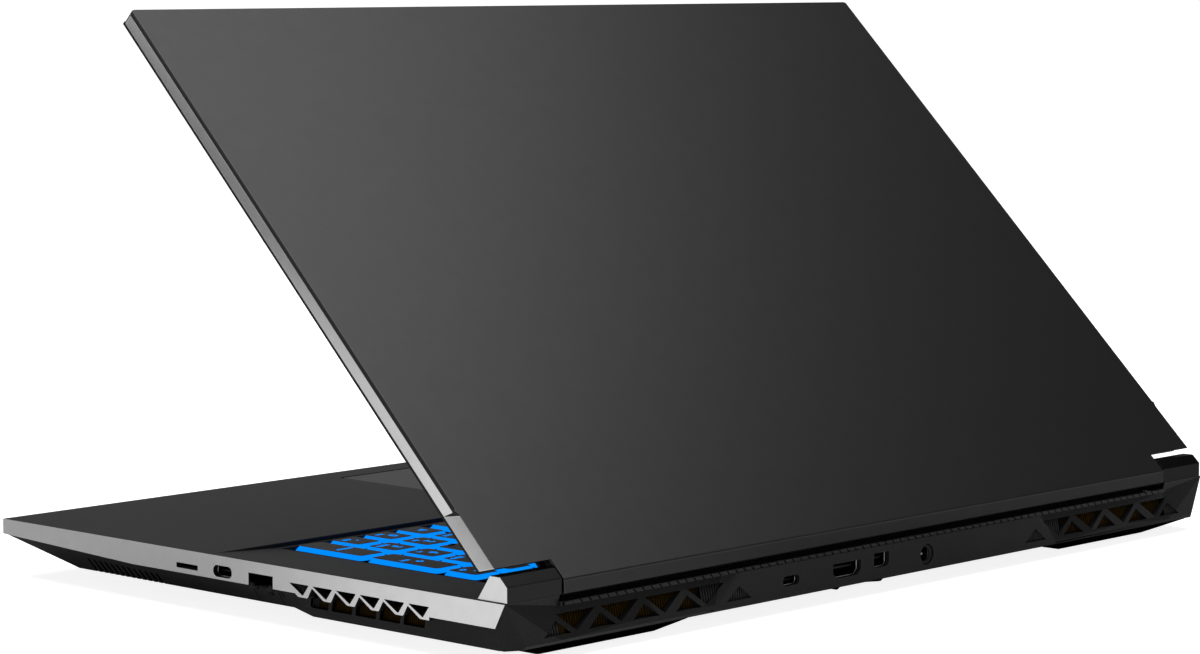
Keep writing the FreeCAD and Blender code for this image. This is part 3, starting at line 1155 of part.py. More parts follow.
def pan(name, low, high, rim, floor):
    """A sheet pan: a floor with an upright rim round it, open at the top."""
    outer = box(name + "_outer", low, high)
    inner = box(name + "_inner", (f"{low[0]} + {rim}", f"{low[1]} + {rim}", f"{low[2]} + {floor}"),
                (f"{high[0]} - {rim}", f"{high[1]} - {rim}", f"{high[2]} + cut_over"))
    return cut(name, outer, [inner])


def make_key_plate():
    """Steel pan under the keys, with a guide hole for every stem."""
    margin = "key_field_gap + plate_rim"
    low = (f"-keys_half - ({margin})", f"rear_y - keys_front_in - ({margin})", "key_plate_z - plate_thick")
    high = (f"keys_half + ({margin})", f"rear_y - keys_rear_in + ({margin})", "well_under_z")
    holes = [rod(f"stem_hole_{i}", "z", (x, y, "key_plate_z - 2 * plate_thick"), "3 * plate_thick",
                 "stem_radius + fit_gap") for i, (x, y) in enumerate(STEMS)]
    plate = doc.addObject("Part::Cut", "key_plate")
    plate.Base = pan("key_pan", low, high, "plate_rim", "plate_thick")
    plate.Tool = grouped("stem_holes", holes)
    node("key_plate", plate)


def make_touchpad():
    """Touchpad, the bracket under it and the power button."""
    left, front = "pad_right - pad_wide", "rear_y - pad_front_in"
    node("touchpad", box("touchpad", (left, front, "pad_under_z"),
                         ("pad_right", f"{front} + pad_deep", "deck_top - pad_sunk")))
    node("touchpad_bracket",
         pan("touchpad_bracket",
             (f"{left} - pad_rim", f"{front} - pad_rim", "pad_under_z - pad_press - bracket_thick"),
             ("pad_right + pad_rim", f"{front} + pad_deep + pad_rim", "deck_top - deck_thick"),
             "(pad_rim - pad_gap)", "bracket_thick"))
    x, y = spread("button_x", "button_wide"), spread("rear_y - button_in", "button_deep")
    node("power_button", box("power_button", (x[0], y[0], "deck_top - button_sunk - button_tall"),
                             (x[1], y[1], "deck_top - button_sunk")))


def make_boards():
    """Mainboard with the parts on its underside, and the battery."""
    wing, rear, neck = "half_width - board_side_in", "rear_y - board_rear_in", "rear_y - board_neck_in"
    front = "rear_y - board_front_in"
    outline = [("board_half", rear), ("board_half", neck), (wing, neck), (wing, front), (f"-({wing})", front),
               (f"-({wing})", neck), ("-board_half", neck), ("-board_half", rear)]
    board = prism("mainboard_sheet", "z", outline, "board_z", "board_z + board_thick")
    holes = [rod(f"board_hole_{i}", "z", (x, y, "board_z - cut_over"), "board_thick + 2 * cut_over",
                 "boss_radius + fit_gap")
             for i, (x, y) in enumerate(SCREW_PLACES)]
    node("mainboard", cut("mainboard", board, holes))
    y = spread("rear_y - chip_in", "chip_deep")
    for label, middle in (("processor", "-chip_x"), ("graphics_chip", "chip_x")):
        x = spread(middle, "chip_wide")
        node(label, box(label, (x[0], y[0], "board_z - chip_thick"), (x[1], y[1], "board_z")))
    reach = "chip_x + chip_wide / 2 + plate_extra"
    node("cold_plate", box("cold_plate", (f"-({reach})", f"{y[0]} - plate_extra", "cold_z"),
                           (reach, f"{y[1]} + plate_extra", "cold_z + cold_plate_thick")))
    x = spread("memory_x", "memory_wide")
    y = spread("rear_y - memory_in", "memory_deep")
    module = box("memory_module", (x[0], y[0], "board_z - memory_thick"), (x[1], y[1], "board_z"))
    node("memory_modules", grouped("memory_modules", both_sides("memory_module_left", module)))
    x = spread("0", "drive_long")
    y = spread("rear_y - drive_in", "drive_wide")
    node("storage_drive",
         box("storage_drive", (x[0], y[0], "board_z - drive_thick"), (x[1], y[1], "board_z")))
    x = spread("radio_x", "radio_wide")
    y = spread("rear_y - memory_in", "radio_deep")
    node("wireless_card",
         box("wireless_card", (x[0], y[0], "board_z - drive_thick"), (x[1], y[1], "board_z")))
    pack = box("battery_block", ("-battery_half", "rear_y - battery_front_in", "floor_z"),
               ("battery_half", "rear_y - battery_rear_in", "floor_z + battery_thick"))
    grooves = [box(f"cell_groove_{i}",
                   (f"battery_half * {i} / 2 - cell_groove / 2", "rear_y - battery_front_in - cut_over",
                    "floor_z + battery_thick - cell_groove_deep"),
                   (f"battery_half * {i} / 2 + cell_groove / 2", "rear_y - battery_rear_in + cut_over",
                    "floor_z + battery_thick + cut_over")) for i in (-1, 0, 1)]
    node("battery_pack", cut("battery_pack", pack, [grouped("cell_grooves", grooves)]))


def fin_stack(name, along, low, high, count):
    """Thin fins on a base plate, made as one fin repeated along the stack."""
    base = box(name + "_base", low, (high[0], high[1], f"{low[2]} + fin_base"))
    step = 0 if along == "X" else 1
    end = [high[0], high[1], high[2]]
    end[step] = f"{low[step]} + fin_thick"
    outline = [(low[0], low[1]), (end[0], low[1]), (end[0], end[1]), (low[0], end[1])]
    fin = prism(name + "_fin", "z", outline, low[2], high[2])
    pad = fin.Tip
    row = fin.newObject("PartDesign::LinearPattern", name + "_row")
    row.Originals = [pad]
    row.Direction = ([item for item in fin.Origin.OriginFeatures if item.Role == f"{along}_Axis"][0], [""])
    row.Occurrences = count
    bind(row, "Length", f"({high[step]}) - ({low[step]}) - fin_thick")
    fin.Tip = row
    return fused(name, [base, fin])


def make_cooling():
    """Heat pipes, fin stacks, fan housings and fan rotors on both sides."""
    inner, outer = "fins_inner", "fins_outer"
    back = "rear_y - fins_rear_in"
    chip_y = "rear_y - chip_in"
    turn_in = "board_half + fit_gap"
    pipe_back = "rear_y - panel_front_in - fit_gap"
    outline = [("pipe_wide", f"{chip_y} - pipe_wide / 2"),
               (f"{turn_in} + pipe_wide", f"{chip_y} - pipe_wide / 2"),
               (f"{turn_in} + pipe_wide", f"{pipe_back} - pipe_wide"), (outer, f"{pipe_back} - pipe_wide"),
               (outer, pipe_back), (turn_in, pipe_back), (turn_in, f"{chip_y} + pipe_wide / 2"),
               ("pipe_wide", f"{chip_y} + pipe_wide / 2")]
    pipe = prism("heat_pipe_right", "z", outline, "pipe_z", "cold_z")
    node("heat_pipes", grouped("heat_pipes", both_sides("heat_pipe_left", pipe)))
    stack = fin_stack("fins_rear_right", "X", (f"({inner})", f"({back} - fins_deep)", "cold_z"),
                      (f"({outer})", f"({back})", "deck_top - fins_below"),
                      int(value("fins_wide / fin_pitch")))
    node("rear_fins", grouped("rear_fins", both_sides("fins_rear_left", stack)))
    side_end = "half_width - side_wall - shell_wall - side_fins_gap"
    front = "rear_y - vent_block_long + shell_wall + fit_gap"
    side = fin_stack("fins_side_right", "Y", (f"({side_end} - side_fins_deep)", f"({front})", "floor_z"),
                     (f"({side_end})", f"({front} + side_fins_long)", "deck_top - side_fins_below"),
                     int(value("side_fins_long / fin_pitch")))
    node("side_fins", grouped("side_fins", both_sides("fins_side_left", side)))
    make_fans()


def make_fans():
    """Blower housings open towards the fins, with rotors on their shafts."""
    half = "fan_size / 2"
    low, high = ("fan_x - " + half, "fan_y - " + half, "floor_z"), ("fan_x + " + half, "fan_y + " + half,
                                                                    "floor_z + fan_tall")
    case = box("fan_case", low, high)
    chamber = rod("fan_chamber", "z", ("fan_x", "fan_y", "floor_z + fan_wall"), "fan_tall - 2 * fan_wall",
                  "fan_bore")
    outlet = box("fan_outlet", ("fan_x - fan_bore", "fan_y", "floor_z + fan_wall"),
                 ("fan_x + fan_bore", f"fan_y + {half} + cut_over", "floor_z + fan_tall - fan_wall"))
    mouth = rod("fan_intake", "z", ("fan_x", "fan_y", "floor_z + fan_tall - 2 * fan_wall"),
                "3 * fan_wall", "fan_mouth")
    under = cut("fan_under",
                rod("fan_under_ring", "z", ("fan_x", "fan_y", "floor_z - cut_over"),
                    "fan_wall + cut_over", "fan_mouth"),
                [rod("fan_under_hub", "z", ("fan_x", "fan_y", "floor_z - 2 * cut_over"), "4 * fan_wall",
                     "rotor_hub"),
                 box("fan_under_spoke",
                     ("fan_x - fan_mouth", "fan_y - 2 * fan_wall", "floor_z - 2 * cut_over"),
                     ("fan_x + fan_mouth", "fan_y + 2 * fan_wall", "floor_z + 2 * fan_wall"))])
    shell = cut("fan_shell", case, [chamber, outlet, mouth, under])
    post = rod("fan_post", "z", ("fan_x", "fan_y", "floor_z"), "fan_tall - 2 * fan_wall", "shaft_radius")
    housing = fused("fan_housing_right", [shell, post])
    node("fan_housing_right", housing)
    node("fan_housing_left", mirrored("fan_housing_left", housing))
    foot = "floor_z + fan_wall + rotor_gap"
    hub = rod("rotor_core", "z", ("fan_x", "fan_y", foot), "rotor_tall", "rotor_hub")
    blade = prism("rotor_blade", "z", [("fan_x + rotor_hub - blade_thick", "fan_y - blade_thick / 2"),
                                       ("fan_x + rotor_radius", "fan_y + 2 * blade_thick"),
                                       ("fan_x + rotor_radius", "fan_y + 3 * blade_thick"),
                                       ("fan_x + rotor_hub - blade_thick", "fan_y + blade_thick / 2")],
                  foot, f"{foot} + rotor_tall")
    blades = []
    for i in range(BLADES):
        turned = doc.addObject("Part::Compound", f"rotor_blade_{i}")
        turned.Links = [blade]
        middle = V(value("fan_x"), value("fan_y"), 0)
        turned.Placement = FreeCAD.Placement(V(), FreeCAD.Rotation(V(0, 0, 1), 360 * i / BLADES), middle)
        blades.append(turned)
    bore = rod("rotor_bore", "z", ("fan_x", "fan_y", f"{foot} - cut_over"), "rotor_tall + 2 * cut_over",
               "shaft_radius + pin_gap")
    rotor = cut("fan_rotor_right", fused("rotor_block", [hub] + blades), [bore])
    node("fan_rotor_right", rotor)
    node("fan_rotor_left", mirrored("fan_rotor_left", rotor))


BLADES = 29


def slanted_room():
    """Room inside the strip and the cover's slanted side, which the network socket's mouth follows."""
    slope = "cover_slope / (case_thick - strip_front_tall)"
    step = f"half_width - cover_top_in - (strip_tall - strip_front_tall) * {slope} - socket_sunk"
    inner = "half_width - 2 * board_side_in"
    outline = [("half_width - socket_sunk", "deck_top"),
               ("half_width - socket_sunk", "deck_top - strip_tall"),
               (step, "deck_top - strip_tall"), ("cover_foot_half - socket_sunk", "foot_tall"),
               (inner, "foot_tall"), (inner, "deck_top")]
    return prism("slanted_room", "y", outline, "front_y", "rear_y")


def make_sockets():
    """Port sockets: a metal shell with a tongue, on a foot that stands on the mainboard."""
    solids = {}
    for port, (side, middle, below, width, height) in PORTS.items():
        sunk = "socket_sunk" if port == "network_socket" else "port_sunk"
        outer = f"{OUTSIDE[side]} - {sunk}"
        shell_out = "2 * socket_shell"
        depth = (f"{outer} - socket_deep", outer)
        shell = wall_box(port + "_shell", side, spread(middle, f"{width} + {shell_out}"), depth,
                         spread(below, f"{height} + {shell_out}"))
        inside = (f"{outer} - socket_deep + socket_back", f"{outer} + cut_over")
        spans = [(width, spread(below, height))]
        if port == "network_socket":
            top = f"{below} - {height} / 2"
            spans = [(across, (top, f"{top} + {down}")) for across, down in NETWORK_STEPS]
        mouths = [wall_box(f"{port}_mouth_{i}", side, spread(middle, across), inside, down)
                  for i, (across, down) in enumerate(spans)]
        hollow = cut(port + "_hollow", shell, mouths)
        pieces = [hollow]
        if port not in ("network_socket", "card_slot"):
            pieces.append(wall_box(port + "_tongue", side, spread(middle, f"{width} - 2 * tongue_side"),
                                   (f"{outer} - socket_deep + socket_back / 2", f"{outer} - tongue_sunk"),
                                   spread(below, "tongue_thick")))
        foot = (SOCKET_SEATS[side], f"{outer} - socket_deep + socket_back / 2")
        depth = (below, "board_below")
        if side == "rear":
            depth = spread(below, "socket_foot")
        if port == "network_socket":
            depth = ("board_below - socket_foot", "board_below")
        pieces.append(wall_box(port + "_foot", side, spread(middle, width), foot, depth))
        solids[port] = fused(port + "_shape", pieces)
    solids["network_socket"] = common("network_jack", [solids["network_socket"], slanted_room()])
    for port, solid in solids.items():
        if PORTS[port][0] != "left":
            node(port, solid)
    left = [mirrored(port + "_left", solid) for port, solid in solids.items() if PORTS[port][0] == "left"]
    node("left_ports", grouped("left_ports", left))


# Width and depth below its top of each step of the network socket's mouth
NETWORK_STEPS = (("net_wide", "net_face_tall"), ("net_step_wide", "net_step_tall"),
                 ("net_latch_wide", "net_latch_tall"))
SOCKET_SEATS = {"rear": "rear_y - board_rear_in + fit_gap",
                "right": "half_width - board_side_in - socket_foot",
                "left": "half_width - board_side_in - socket_foot"}


def make_round_sockets():
    """Power inlet with its centre pin, and the audio jacks."""
    mouth = "rear_y + port_face_out - socket_sunk"
    middle_z = "deck_top - power_below"
    barrel = rod("inlet_barrel", "y", ("power_x", f"{mouth} - socket_deep", middle_z), "socket_deep",
                 "power_radius")
    bore = rod("inlet_bore", "y", ("power_x", f"{mouth} - socket_deep + socket_back", middle_z),
               "socket_deep", "power_bore")
    pin = rod("inlet_pin", "y", ("power_x", f"{mouth} - socket_deep", middle_z),
              "socket_deep - tongue_sunk", "power_pin")
    foot = box("inlet_foot",
               ("power_x - power_radius", "rear_y - board_rear_in + fit_gap",
                f"{middle_z} - socket_foot / 2"),
               ("power_x + power_radius", f"{mouth} - socket_deep + socket_back / 2",
                f"{middle_z} + socket_foot / 2"))
    node("power_inlet", fused("power_inlet", [cut("inlet_tube", barrel, [bore]), pin, foot]))
    jacks = []
    start = "half_width - socket_sunk - socket_deep"
    for i, middle in enumerate(AUDIO_JACKS):
        tube = rod(f"jack_tube_{i}", "x", (start, middle, "deck_top - audio_below"), "socket_deep",
                   "audio_radius")
        hole = rod(f"jack_hole_{i}", "x", (f"{start} + socket_back", middle, "deck_top - audio_below"),
                   "socket_deep", "audio_bore")
        y = spread(middle, "2 * audio_radius")
        block = box(f"jack_block_{i}", (SOCKET_SEATS["left"], y[0], "deck_top - board_below"),
                    (f"{start} + socket_back / 2", y[1], "deck_top - audio_below + audio_radius"))
        jacks.append(mirrored(f"jack_{i}",
                              cut(f"jack_cut_{i}", fused(f"jack_solid_{i}", [tube, block]), [hole])))
    node("audio_jacks", grouped("audio_jacks", jacks))


def make_speakers():
    """Speaker boxes in the front corners, each with a shallow cone."""
    outer = "half_width - speaker_side_in"
    front = "rear_y - speaker_front_in"
    body = box("speaker_box", (f"{outer} - speaker_wide", front, "floor_z"),
               (outer, f"{front} + speaker_deep", "floor_z + speaker_tall"))
    cone = rod("speaker_cone", "z", (f"{outer} - speaker_wide / 2", f"{front} + speaker_deep / 2",
                                     "floor_z + speaker_tall - cone_deep"), "2 * cone_deep", "cone_radius")
    speaker = cut("speaker_right", body, [cone])
    node("speakers", grouped("speakers", both_sides("speaker_left", speaker)))


def make_feet():
    """Two long slanted rear feet, two small middle feet and one front foot."""
    rear = doc.addObject("Part::Wedge", "rear_foot")
    rear.Placement = FreeCAD.Placement(V(), FreeCAD.Rotation(V(1, 0, 0), -90))
    sizes = {"Xmin": "0", "Ymin": "0", "Zmin": "0", "X2min": "foot_taper", "Z2min": "foot_front_lean",
             "Xmax": "foot_long", "Ymax": "foot_tall", "Zmax": "foot_wide", "X2max": "foot_long - foot_draft",
             "Z2max": "foot_wide - foot_lean"}
    for prop, text in sizes.items():
        bind(rear, prop, text)
    place(rear, "half_width - foot_outer_in - foot_long", "rear_y + rear_bulge - foot_rear_in - foot_wide",
          "foot_tall")
    back, ahead = "rear_y - stud_rear_in", "rear_y - stud_rear_in - stud_deep"
    inner = "stud_x - stud_wide"
    corners = [(inner, f"{back} - stud_slant"), (inner, ahead), ("stud_x", ahead), ("stud_x", back)]
    wide = corners[:2] + [("stud_x + stud_draft", ahead), ("stud_x + stud_draft", f"{back} + stud_draft")]
    stud = convex_solid("middle_foot", [corner + ("0",) for corner in corners]
                        + [corner + ("foot_tall",) for corner in wide])
    node("rear_feet", grouped("rear_feet", both_sides("rear_foot_left", rear)
                              + both_sides("middle_foot_left", stud)))
    middle = "rear_y - front_foot_in"
    bar = [("-front_foot_long / 2", "foot_tall"), ("-front_foot_long / 2 + front_foot_taper", "0"),
           ("front_foot_long / 2 - front_foot_taper", "0"), ("front_foot_long / 2", "foot_tall")]
    node("front_foot", prism("front_foot", "y", bar, f"{middle} - front_foot_wide / 2",
                             f"{middle} + front_foot_wide / 2"))


def check_and_write():
    """Stop on any failed object or bad shape, then write each sub-part."""
    doc.recompute()
    for thing in doc.Objects:
        if "Invalid" in thing.State or "Error" in thing.State:
            raise RuntimeError(f"{thing.Label} failed: {thing.State}")
    for thing in NODES:
        if thing.Shape.isNull() or not thing.Shape.isValid() or not thing.Shape.Solids:
            raise RuntimeError(f"{thing.Label} has no valid shape")
    os.makedirs("parts", exist_ok=True)
    for thing in NODES:
        thing.Shape.exportStep(f"parts/{thing.Label}.step")
        print(thing.Label, len(thing.Shape.Solids), round(thing.Shape.Volume, 1))


make_top_case()
make_bottom_cover()
make_rear_panel()
make_teeth()
make_hinges()
make_lid()
make_keys()
make_key_plate()
make_touchpad()
make_boards()
make_cooling()
make_sockets()
make_round_sockets()
make_speakers()
make_feet()
check_and_write()
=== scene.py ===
import math

import bmesh
import bpy
from bpy.props import FloatProperty, FloatVectorProperty, PointerProperty
from bpy.types import Operator, Panel, PropertyGroup
from mathutils import Matrix, Vector


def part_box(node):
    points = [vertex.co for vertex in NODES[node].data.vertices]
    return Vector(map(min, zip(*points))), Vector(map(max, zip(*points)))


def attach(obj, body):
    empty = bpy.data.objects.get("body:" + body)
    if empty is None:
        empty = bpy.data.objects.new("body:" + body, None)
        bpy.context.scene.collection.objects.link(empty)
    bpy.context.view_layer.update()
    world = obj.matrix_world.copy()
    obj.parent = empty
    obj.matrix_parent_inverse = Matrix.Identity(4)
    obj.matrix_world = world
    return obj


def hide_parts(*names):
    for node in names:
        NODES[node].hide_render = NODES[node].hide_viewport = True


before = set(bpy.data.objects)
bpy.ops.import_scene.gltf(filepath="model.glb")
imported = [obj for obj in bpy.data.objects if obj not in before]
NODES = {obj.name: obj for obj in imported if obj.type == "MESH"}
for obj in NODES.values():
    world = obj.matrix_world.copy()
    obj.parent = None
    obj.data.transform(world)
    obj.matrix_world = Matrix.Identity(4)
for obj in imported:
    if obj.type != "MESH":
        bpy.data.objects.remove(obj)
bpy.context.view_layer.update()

bl_info = {
    "name": "Wide Laptop",
    "version": (1, 0, 0),
    "blender": (4, 5, 0),
    "location": "View3D > Sidebar > Laptop",
    "description": "Finishes a laptop with a lit keyboard and sets it in a white studio",
    "category": "Object",
}

MM = 0.001


def colour(label, hint, value):
    return FloatVectorProperty(name=label, description=hint, subtype="COLOR", size=3, min=0, max=1,
                               default=value)


def length(label, hint, mm):
    return FloatProperty(name=label, description=hint, unit="LENGTH", subtype="DISTANCE", default=mm * MM,
                         precision=5)


def angle(label, hint, degrees):
    return FloatProperty(name=label, description=hint, unit="ROTATION", subtype="ANGLE",
                         default=math.radians(degrees))


def power(label, hint, watts):
    return FloatProperty(name=label, description=hint, unit="POWER", default=watts)


def share(label, hint, value):
    return FloatProperty(name=label, description=hint, subtype="FACTOR", default=value)


class LaptopFinish(PropertyGroup):
    """Colours of the laptop's finishes"""
    lid: colour("Lid", "Dark satin metal of the lid's back", (0.058, 0.058, 0.0585))
    deck: colour("Deck", "Dark metal of the deck", (0.03, 0.03, 0.0305))
    cap: colour("Cap", "Dark metal of the hinge caps", (0.022, 0.022, 0.0225))
    edge: colour("Edge", "Silver metal of the side strips", (0.55, 0.55, 0.555))
    cover: colour("Cover", "Matte plastic of the bottom and rear", (0.019, 0.019, 0.0195))
    bezel: colour("Bezel", "Black plastic round the screen", (0.008, 0.0085, 0.01))
    key: colour("Key", "Dark plastic of the key tops", (0.046, 0.0455, 0.046))
    glow: colour("Glow", "Light that leaves the key skirts and legends", (0.0, 0.27, 1.0))
    copper: colour("Copper", "Heat pipes and cold plate", (0.42, 0.2, 0.08))
    # The fins' copper is darkened as painted shade of the vents they sit in
    fin: colour("Fin", "Copper of the fins, darkened as painted shade", (0.085, 0.049, 0.01))
    steel: colour("Steel", "Screws, brackets and socket shells", (0.45, 0.45, 0.46))
    rubber: colour("Rubber", "Feet and lid bumpers", (0.004, 0.004, 0.004))


class LaptopSizes(PropertyGroup):
    """Sizes of the finer shapes"""
    shell_edge: length("Shell edge", "Rounding of the case's edges", 0.2)
    deck_edge: length("Deck edge", "Dark bevel between the deck and its strips", 0.35)
    lid_edge: length("Lid edge", "Rounding of the lid's edges", 0.25)
    brow: length("Brow", "Rounding between the lid's back and its chin", 0.5)
    ear_step: length("Ear step", "How far the foot of a lid strip is set back", 1.1)
    vent_corner: length("Vent corner", "Radius of the vent holes' corners", 0.5)
    undercut: length("Undercut", "Bevel along the lower rear edge", 1.15)
    foot_edge: length("Foot edge", "Rounding of the rubber feet", 0.6)
    key_foot: length("Key foot", "Distance from a key's cell to its foot", 0.25)
    key_corner: length("Key corner", "Radius of a key's corners", 1.8)
    key_inset: length("Key inset", "Distance from a key's cell to its skirt", 1.3)
    key_drop: length("Key drop", "Distance from the deck's key line to a key's top", 0.4)
    key_dish: length("Key dish", "Depth of the hollow in a key's top", 0.04)
    key_glow: length("Key glow", "Height of the lit skirt", 1.3)
    legend: length("Legend", "Size of the letters on the keys", 5.8)
    legend_rise: length("Legend rise", "Height of the letters above a key's top", 0.02)
    legend_depth: length("Legend depth", "Thickness of the letters, most of it sunk in the key", 0.08)
    pad_corner: length("Pad corner", "Radius of the touchpad's corners", 2.5)
    pad_rim: length("Pad rim", "Width of the touchpad's polished rim", 0.25)
    socket_depth: length("Socket depth", "Depth of a socket's shell", 13.0)
    fin_sheet: length("Fin sheet", "Thickness of a fin", 0.25)


class LaptopStudio(PropertyGroup):
    """Camera and light"""
    camera: FloatVectorProperty(name="Camera", description="Place of the camera", subtype="TRANSLATION",
                                unit="LENGTH", default=(0.97899, 0.9198, 0.22249))
    turn: angle("Turn", "Angle of the view round the laptop", 133.5247)
    rise: angle("Rise", "Angle that the view looks down", 5.87845)
    roll: angle("Roll", "Tilt of the picture", -0.14585)
    lens: FloatProperty(name="Lens", description="Focal length in millimetres", unit="CAMERA",
                        default=104.4614)
    shift_x: share("Shift X", "Sideways shift of the picture", -0.005775)
    shift_y: share("Shift Y", "Upward shift of the picture", 0.007346)
    top_light: power("Top light", "Power of the lamp above", 20.0)
    side_light: power("Side light", "Power of the lamp beside the strips", 0.03)
    ambient: share("Ambient", "Light from all round on matte surfaces", 0.7)
    ceiling: share("Ceiling", "Brightness of the studio overhead", 0.22)


def settings():
    return bpy.context.scene.laptop_finish, bpy.context.scene.laptop_sizes, bpy.context.scene.laptop_studio


# Materials

class Shader:
    """One node material with a Principled shader"""

    def __init__(self, name):
        self.material = bpy.data.materials.new(name)
        self.material.use_nodes = True
        self.tree = self.material.node_tree
        self.tree.nodes.clear()
        self.output = self.add("ShaderNodeOutputMaterial")
        self.shader = self.add("ShaderNodeBsdfPrincipled")
        self.link(self.shader.outputs[0], self.output.inputs["Surface"])
        self.place = self.add("ShaderNodeTexCoord").outputs["Object"]

    def add(self, kind, **values):
        made = self.tree.nodes.new(kind)
        for key, value in values.items():
            if key in made.inputs:
                made.inputs[key].default_value = value
            else:
                setattr(made, key, value)
        return made

    def link(self, start, end):
        self.tree.links.new(start, end)

    def set(self, **values):
        for key, value in values.items():
            self.shader.inputs[key.replace("_", " ")].default_value = value

    def noise(self, size, detail=3.0):
        """Noise whose features are about size across"""
        made = self.add("ShaderNodeTexNoise", Scale=1.0 / size, Detail=detail)
        self.link(self.place, made.inputs["Vector"])
        return made.outputs["Fac"]

    def pits(self, size):
        """Rounded cells about size across, as on a grained moulding"""
        made = self.add("ShaderNodeTexVoronoi", Scale=1.0 / size)
        made.feature = "SMOOTH_F1"
        self.link(self.place, made.inputs["Vector"])
        return made.outputs["Distance"]

    def ranged(self, value, low, high, start=0.3, end=0.7):
        """A value between start and end, carried over to between low and high"""
        made = self.add("ShaderNodeMapRange")
        for key, number in (("From Min", start), ("From Max", end), ("To Min", low), ("To Max", high)):
            made.inputs[key].default_value = number
        self.link(value, made.inputs["Value"])
        return made.outputs[0]

    def edges(self, width):
        """High along convex and concave edges"""
        soft = self.add("ShaderNodeBevel", Radius=width)
        flat = self.add("ShaderNodeNewGeometry")
        dot = self.add("ShaderNodeVectorMath", operation="DOT_PRODUCT")
        self.link(soft.outputs[0], dot.inputs[0])
        self.link(flat.outputs["Normal"], dot.inputs[1])
        return self.ranged(dot.outputs["Value"], 1.0, 0.0, 0.86, 0.995)

    def mixed(self, amount, first, second):
        """Colour between first and second"""
        made = self.add("ShaderNodeMix", data_type="RGBA")
        self.link(amount, made.inputs["Factor"])
        for socket, value in ((made.inputs[6], first), (made.inputs[7], second)):
            if isinstance(value, bpy.types.NodeSocket):
                self.link(value, socket)
            else:
                socket.default_value = (*value, 1.0)
        return made.outputs[2]

    def feed(self, value, socket):
        """Drive a socket of the shader"""
        self.link(value, self.shader.inputs[socket])

    def bumped(self, height, depth, strength=1.0):
        made = self.add("ShaderNodeBump", Strength=strength, Distance=depth)
        self.link(height, made.inputs["Height"])
        self.feed(made.outputs[0], "Normal")


def shade(tone, factor):
    """A tone made lighter or darker"""
    return tuple(min(1.0, part * factor) for part in tone)


def metal(name, tone, rough, grain, wear, edge_tint=1.0, metallic=1.0):
    """Anodised or bare metal with a fine grain and rubbed edges"""
    made = Shader(name)
    made.set(Metallic=metallic, Specular_IOR_Level=0.1, Specular_Tint=(edge_tint, edge_tint, edge_tint, 1.0))
    blotch = made.noise(6 * MM, 4.0)
    body = made.mixed(made.ranged(blotch, 0, 1), shade(tone, 0.975), shade(tone, 1.025))
    made.feed(made.mixed(made.edges(0.35 * MM), body, shade(tone, wear)), "Base Color")
    fine = made.noise(grain, 2.0)
    made.feed(made.ranged(fine, rough * 0.92, rough * 1.08), "Roughness")
    made.bumped(fine, 0.004 * MM, 0.4)
    return made.material


def plastic(name, tone, rough, grain, depth, specular=0.4, wear=1.6):
    """Moulded plastic with a pitted grain"""
    made = Shader(name)
    made.set(Specular_IOR_Level=specular)
    blotch = made.noise(30 * MM, 3.0)
    body = made.mixed(made.ranged(blotch, 0, 1), shade(tone, 0.88), shade(tone, 1.12))
    made.feed(made.mixed(made.edges(0.3 * MM), body, shade(tone, wear)), "Base Color")
    cells = made.pits(grain)
    made.feed(made.ranged(cells, rough * 0.9, min(1.0, rough * 1.1), 0.1, 0.6), "Roughness")
    made.bumped(cells, depth)
    return made.material


def glow(name, tone, strength):
    """Milky plastic with light behind it"""
    made = Shader(name)
    made.set(Emission_Color=(*tone, 1.0), Emission_Strength=strength, Specular_IOR_Level=0.0)
    milk = made.noise(2 * MM, 2.0)
    made.feed(made.mixed(made.ranged(milk, 0, 1), shade(tone, 0.01), shade(tone, 0.03)), "Base Color")
    made.feed(made.ranged(milk, 0.45, 0.6), "Roughness")
    made.bumped(milk, 0.01 * MM, 0.3)
    return made.material


def glass(name, tone, rough, specular=0.5):
    """Dark smooth glass with a faint film"""
    made = Shader(name)
    made.set(Specular_IOR_Level=specular)
    film = made.noise(18 * MM, 4.0)
    made.feed(made.mixed(made.ranged(film, 0, 1), shade(tone, 0.9), shade(tone, 1.1)), "Base Color")
    made.feed(made.ranged(film, rough * 0.85, rough * 1.2), "Roughness")
    made.bumped(made.noise(0.4 * MM, 1.0), 0.004 * MM, 0.3)
    return made.material


def board(name, tone, line):
    """Lacquered board with tracks under the lacquer"""
    made = Shader(name)
    made.set(Specular_IOR_Level=0.5)
    tracks = made.add("ShaderNodeTexBrick", Scale=1.0 / (6 * MM))
    made.link(made.place, tracks.inputs["Vector"])
    made.feed(made.mixed(tracks.outputs["Fac"], tone, line), "Base Color")
    made.feed(made.ranged(made.noise(2 * MM), 0.3, 0.5), "Roughness")
    made.bumped(tracks.outputs["Fac"], 0.03 * MM)
    return made.material


